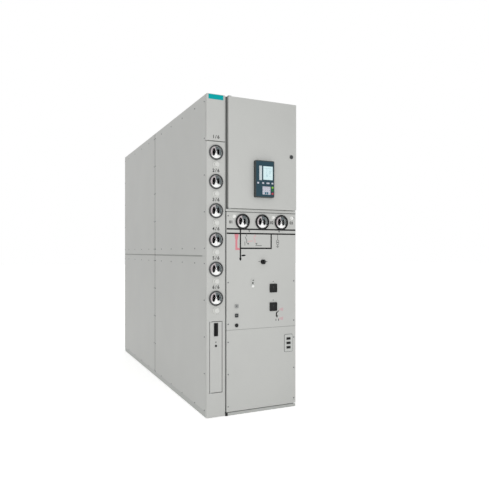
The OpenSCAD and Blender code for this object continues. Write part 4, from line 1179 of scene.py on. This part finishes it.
inner, outer = [corners(*edges([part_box("slim_door")], gap)) for gap in (TRIM_INNER_MM, TRIM_OUTER_MM)]
trim_strips = [[outer[i], outer[(i + 1) % 4], inner[(i + 1) % 4], inner[i]] for i in range(4)]
trim_y, trim_rise_mm = front_y + TRIM_DEPTH_MM * MM, TRIM_DEPTH_MM - TRIM_BEHIND_MM
raise_outlines("slim_door_edge_trim", trim_strips, trim_y, wall_paint, trim_rise_mm)
print("gap left round the narrow door:", TRIM_INNER_MM, "mm")

# %% [markdown]
# ## Corner plug
# The channel beside the control door is open at its top. A moulded plug closes it, as on such cabinets: a
# flat head with a rounded edge on a shank that sits between the folds. Both outlines come from the box of
# that wall.

# %% Plug in the top of the right-hand channel
PLUG_WALL_MM, PLUG_BACK_MM, PLUG_CORNER_MM = 2.0, 0.5, 1.5
PLUG_PROFILE_MM = [(2.3, -14), (2.3, 0.1), (0.4, 0.1), (0.2, 1.4), (1.2, 2.4), (2.6, 2.6)]  # inset, height
channel_low, channel_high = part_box("lv_right_wall")
plug_left = channel_low.x + PLUG_WALL_MM * MM
plug_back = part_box("right_front_upper_wall")[0].y - PLUG_BACK_MM * MM
plug_middle = ((plug_left + channel_high.x) / 2, (channel_low.y + plug_back) / 2)
plug_size = (channel_high.x - plug_left, plug_back - channel_low.y)
loops = []
for inset_mm, up_mm in PLUG_PROFILE_MM:
    size = [length - 2 * inset_mm * MM for length in plug_size]
    outline = plate_outline(plug_middle, size, PLUG_CORNER_MM * MM)
    loops.append([(x, y, channel_high.z + up_mm * MM) for x, y in outline])
plug = bmesh.new()
skin(plug, loops)
piece("channel_plug", plug, grey_plastic)
print("plug", [round(length / MM, 1) for length in plug_size], "mm")

# %% [markdown]
# ## End cap of the plinth rail
# The rail under the lower cover is a cut section, and its open left end shows at the foot of the gap beside
# the end column. A black moulded cap covers that end. It laps over the rail and stays clear of the column.

# %% Cap on the left end of the plinth rail
CAP_CLEAR_MM, CAP_LAP_MM, CAP_FOOT_MM, CAP_TOP_MM = 1.0, 10.0, 0.5, 21.5
CAP_CORNER_MM, CAP_RISE_MM = 2, 1.5
cap_left, cap_right = column_right + CAP_CLEAR_MM * MM, cover_low.x + CAP_LAP_MM * MM
cap_middle = ((cap_left + cap_right) / 2, (CAP_FOOT_MM + CAP_TOP_MM) / 2 * MM)
cap_size = (cap_right - cap_left, (CAP_TOP_MM - CAP_FOOT_MM) * MM)
cap = plate_outline(cap_middle, cap_size, CAP_CORNER_MM * MM)
rail_front_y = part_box("base_cross_rails")[0].y
raise_outlines("plinth_end_cap", [cap], rail_front_y, black_plastic, CAP_RISE_MM)
print("end cap", [round(length / MM, 1) for length in cap_size], "mm")

# %% [markdown]
# ## Relay front
# A printed foil covers the front inside the rim of the case. It leaves the windows and the keypad free, so
# it is laid out as rectangles round them. The display shows a plain single-line picture, the strip beside
# it carries a row of signal lamps with their lines, and the keys have numbers and arrows. The keys stand on
# a pale mat, moulded in one with them. Lamps are domed, so each is a short stack of rings.

# %% Printed foil round the windows and the keypad
RIM_MM, WINDOW_EDGE_MM, PAD_EDGE_MM, PAD_TOP_MM, FOIL_MM = 6.5, 0.6, 3.0, 10, 0.15
case_low, case_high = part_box("relay_case")
pad_top_z = middle(side_keys[0])[1] + PAD_TOP_MM * MM
pad_keys = [key for key in relay_keys if key not in side_keys and key[1].z < pad_top_z]
left, foot, right, top = edges([(case_low, case_high)], -RIM_MM)
strip_left, strip_foot, strip_right, strip_top = edges([strip_pane], WINDOW_EDGE_MM)
screen_left, screen_foot, screen_right, screen_top = edges([screen_pane], WINDOW_EDGE_MM)
pad_left, pad_foot, pad_right, pad_top = edges(pad_keys, PAD_EDGE_MM)
foil = [corners(left, strip_top, right, top), corners(left, strip_foot, strip_left, strip_top),
        corners(strip_right, strip_foot, screen_left, strip_top),
        corners(screen_right, strip_foot, right, strip_top),
        corners(screen_left, screen_top, screen_right, strip_top),
        corners(screen_left, strip_foot, screen_right, screen_foot),
        corners(left, pad_top, right, strip_foot), corners(left, pad_foot, pad_left, pad_top),
        corners(pad_right, pad_foot, right, pad_top), corners(left, foot, right, pad_foot)]
raise_outlines("relay_foil", foil, case_low.y, foil_print, FOIL_MM, "lv_door_leaf")
print("foil in", len(foil), "rectangles,", round((right - left) / MM, 1), "mm wide")

# %% Lines on the display
SCREEN_LINE_MM, LINE_RISE_MM = 1.4, 0.1
SCREEN_PICTURE_MM = [((-30, 34), (30, 34)), ((-10, 34), (-10, 12)), ((-10, 12), (-18, -2)),
                     ((-10, -2), (-10, -30))]
SCREEN_TEXT_MM = [(16, 22), (9, 16), (2, 20), (-5, 12), (-26, 22)]  # height and length of each row
TEXT_LEFT_MM, RING_SPOT_MM, RING_INNER_MM, RING_OUTER_MM = 8, (-10, -20), 6, 7.2


def on_screen(right_mm, up_mm):
    """Point on the display, from its middle."""
    return Vector(middle(screen_pane)) + Vector((right_mm, up_mm)) * MM


text_rows = [((TEXT_LEFT_MM, up), (TEXT_LEFT_MM + reach, up)) for up, reach in SCREEN_TEXT_MM]
screen_lines = bars(on_screen, SCREEN_LINE_MM, SCREEN_PICTURE_MM)
screen_lines.append(ring(on_screen(*RING_SPOT_MM), RING_INNER_MM * MM, RING_OUTER_MM * MM))
screen_lines += bars(on_screen, SCREEN_LINE_MM, text_rows)
raise_outlines("relay_display_lines", screen_lines, screen_pane[0].y, screen_ink, LINE_RISE_MM,
               "lv_door_leaf")
print("display lines:", len(screen_lines))

# %% Signal lamps
LAMP_COUNT, LAMP_IN_MM = 14, 4.5
LAMP_PROFILE = [(1.9, -0.1), (1.9, 0.5), (1.4, 1.0), (0.5, 1.2)]
LAMP_LINE_FROM_MM, LAMP_LINE_TO_MM, LAMP_LINE_MM = 5, 14, 1.2
strip_low, strip_high = strip_pane
lamps, lamp_lines = bmesh.new(), []
for i in range(LAMP_COUNT):
    x = strip_low.x + LAMP_IN_MM * MM
    z = strip_low.z + (strip_high.z - strip_low.z) * (i + 0.5) / LAMP_COUNT
    rings(lamps, (x, strip_low.y, z), FRONT, LAMP_PROFILE)
    ends = [(x + reach * MM, z) for reach in (LAMP_LINE_FROM_MM, LAMP_LINE_TO_MM)]
    lamp_lines.append(bar(*ends, LAMP_LINE_MM * MM))
piece("relay_lamps", lamps, grey_plastic, "lv_door_leaf")
raise_outlines("relay_lamp_lines", lamp_lines, strip_low.y, screen_ink, LINE_RISE_MM,
               "lv_door_leaf")
print("lamps:", LAMP_COUNT)

# %% Key numbers, arrows and keypad mat
KEY_MARKS, KEY_MARK_MM = "123456789-+0", 6
ARROW_OUT_MM, ARROW_UP_MM, TIP_MM, WING_MM = 7, 2.4, 2.6, 1.6
MAT_RIM_MM, MAT_CORNER_MM, MAT_MM = 2.4, 2, 1.6
for i, key in enumerate(pad_keys):
    numeral(f"relay_key_number_{i + 1}", KEY_MARKS[i], middle(key), key[0].y, KEY_MARK_MM, slate_film,
            body="lv_door_leaf")
oval_key = max((key for key in relay_keys if key not in pad_keys), key=lambda box: box[1].x - box[0].x)
arrows = []
for turn in range(4):
    ray = Vector((math.cos(turn * math.pi / 2), math.sin(turn * math.pi / 2)))
    wing = Vector((-ray.y, ray.x)) * WING_MM * MM
    start = Vector(middle(oval_key)) + Vector((ray.x * ARROW_OUT_MM, ray.y * ARROW_UP_MM)) * MM
    arrows.append([start - wing, start + ray * TIP_MM * MM, start + wing])
raise_outlines("relay_arrows", arrows, oval_key[0].y, slate_film, body="lv_door_leaf")
pad_floor_y = max(key[1].y for key in pad_keys)
mat = plate_round(pad_keys, MAT_RIM_MM, MAT_CORNER_MM)
raise_outlines("relay_keypad_mat", [mat], pad_floor_y, key_plastic, MAT_MM, "lv_door_leaf")
print("numbered keys:", len(pad_keys), "keypad floor at y", round(pad_floor_y, 4))

# %% [markdown]
# ## Relay terminals
# With the door open, the back of the relay shows. Such relays are wired there, to rows of screw terminals
# in moulded strips. A strip is a base with one block per wire, and each block has a small screw. The rows
# are worked out from the box of the relay case.

# %% Terminal strips on the back of the relay
STRIP_SPOTS_MM, TERMINALS, TERMINAL_PITCH_MM = (-46, 0, 46), 14, 14
BASE_WIDTH_MM, BASE_ENDS_MM, BASE_DEEP_MM = 26, 8, 3
BLOCK_WIDTH_MM, BLOCK_GAP_MM, BLOCK_DEEP_MM, SCREW_CLEAR_MM = 20, 1.5, 6, 0.1
STRIP_CORNER_MM, BLOCK_CORNER_MM = 3, 1.2
TERMINAL_SCREW = [(3.2, -0.2), (3.2, 0.8), (2.7, 1.4), (1.6, 1.5), (1.5, 0.8)]
relay_case, back_y = (case_low, case_high), case_high.y
strip_length_mm = TERMINALS * TERMINAL_PITCH_MM + BASE_ENDS_MM
block_length_mm = TERMINAL_PITCH_MM - BLOCK_GAP_MM
screw_y = back_y + (BLOCK_DEEP_MM + SCREW_CLEAR_MM) * MM
bases, blocks, terminal_screws = [], [], bmesh.new()
for right in STRIP_SPOTS_MM:
    bases.append(plate_at(relay_case, right, 0, BASE_WIDTH_MM, strip_length_mm, STRIP_CORNER_MM))
    for i in range(TERMINALS):
        up = (i - (TERMINALS - 1) / 2) * TERMINAL_PITCH_MM
        block = plate_at(relay_case, right, up, BLOCK_WIDTH_MM, block_length_mm, BLOCK_CORNER_MM)
        blocks.append(block)
        x, z = Vector(middle(relay_case)) + Vector((right, up)) * MM
        rings(terminal_screws, (x, screw_y, z), REAR, TERMINAL_SCREW, SOCKET_RINGS)
raise_outlines("relay_terminal_bases", bases, back_y, black_plastic, -BASE_DEEP_MM,
               "lv_door_leaf")
raise_outlines("relay_terminal_blocks", blocks, back_y, grey_plastic, -BLOCK_DEEP_MM,
               "lv_door_leaf")
piece("relay_terminal_screws", terminal_screws, plated_steel, "lv_door_leaf")
print("terminals:", len(blocks))

# %% [markdown]
# ## Studio
# The panel stands on a plain pale floor in an even white room. The world gives soft light from all sides
# and a broad lamp at the left lifts the front above the side wall. Seen straight or in a reflection, the
# world is plain white. The floor glows a little, more so where it is seen that way, and keeps the panel's
# shadow.

# %% White room
AMBIENT_STRENGTH = 0.61


def seeing_rays(tree):
    """1 for a ray that the camera, a mirror or a pane of glass sends out, and 0 for plain light."""
    path = add(tree, "LightPath", {}, {})
    mirrored = add(tree, "Math", {"operation": "MAXIMUM"},
                   {0: path.outputs["Is Glossy Ray"], 1: path.outputs["Is Transmission Ray"]})
    seen = add(tree, "Math", {"operation": "MAXIMUM"},
               {0: path.outputs["Is Camera Ray"], 1: mirrored.outputs[0]})
    return seen.outputs[0]


world = bpy.data.worlds.new("white_room")
scene.world = world
world.use_nodes = True
tree = world.node_tree
tree.nodes.clear()
lit = add(tree, "Background", {"Color": linear("#FFFFFF"), "Strength": AMBIENT_STRENGTH}, {})
shown = add(tree, "Background", {"Color": linear("#FFFFFF"), "Strength": 1.0}, {})
room = add(tree, "MixShader", {}, {0: seeing_rays(tree), 1: lit.outputs[0], 2: shown.outputs[0]})
add(tree, "OutputWorld", {}, {"Surface": room.outputs[0]})
print("ambient light:", AMBIENT_STRENGTH)

# %% Floor
FLOOR_HALF_M, SPECKLE_MM = 40, 25
FLOOR_GLOW, FLOOR_GLOW_SEEN = 0.10, 0.40  # the second is added where the floor is seen
floor_finish, tree, shader, place = new_finish("painted_studio_floor", "#F4F4F3", 0.7)
floor_gloss = spread(tree, noise(tree, place, SPECKLE_MM, 2.0), 0.66, 0.78)
glow = add(tree, "Math", {"operation": "MULTIPLY_ADD", 1: FLOOR_GLOW_SEEN, 2: FLOOR_GLOW},
           {0: seeing_rays(tree)})
shader.inputs["Emission Color"].default_value = linear("#FFFFFF")
link(tree, shader, {"Roughness": floor_gloss, "Emission Strength": glow.outputs[0]})

floor_mesh = bmesh.new()
bmesh.ops.create_grid(floor_mesh, x_segments=8, y_segments=8, size=FLOOR_HALF_M)
floor_data = bpy.data.meshes.new("studio_floor")
floor_mesh.to_mesh(floor_data)
floor_mesh.free()
floor_data.materials.append(floor_finish)
floor = bpy.data.objects.new("studio_floor", floor_data)
scene.collection.objects.link(floor)
floor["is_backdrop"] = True
print("floor:", 2 * FLOOR_HALF_M, "m wide")

# %% Front lamp
LAMP_PLACE, LAMP_TARGET, LAMP_SIDE_M, LAMP_WATTS = (-0.75, -3.9, 1.6), (0, -1.0, 1.2), 1.6, 21
lamp_data = bpy.data.lights.new("front_softbox", "AREA")
lamp_data.shape = "RECTANGLE"
lamp_data.size = lamp_data.size_y = LAMP_SIDE_M
lamp_data.energy = LAMP_WATTS
lamp = bpy.data.objects.new("front_softbox", lamp_data)
lamp.location = LAMP_PLACE
lamp.rotation_euler = (Vector(LAMP_TARGET) - Vector(LAMP_PLACE)).to_track_quat("-Z", "Y").to_euler()
scene.collection.objects.link(lamp)
print("front lamp:", LAMP_WATTS, "W over", LAMP_SIDE_M, "m")

# %% [markdown]
# Print stands a fraction of a millimetre in front of its sheet and a screw head 2.6 mm, so the dressed
# panel must fill nearly the same box as the CAD model. How far it grows beyond the CAD box is printed.

# %% Compare the boxes and finish
dressed_low, dressed_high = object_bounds()
below = [round((cad - dressed) / MM, 2) for cad, dressed in zip(cad_low, dressed_low)]
above = [round((dressed - cad) / MM, 2) for cad, dressed in zip(cad_high, dressed_high)]
print("growth beyond the CAD box in mm, at its low and high sides:", below, above)
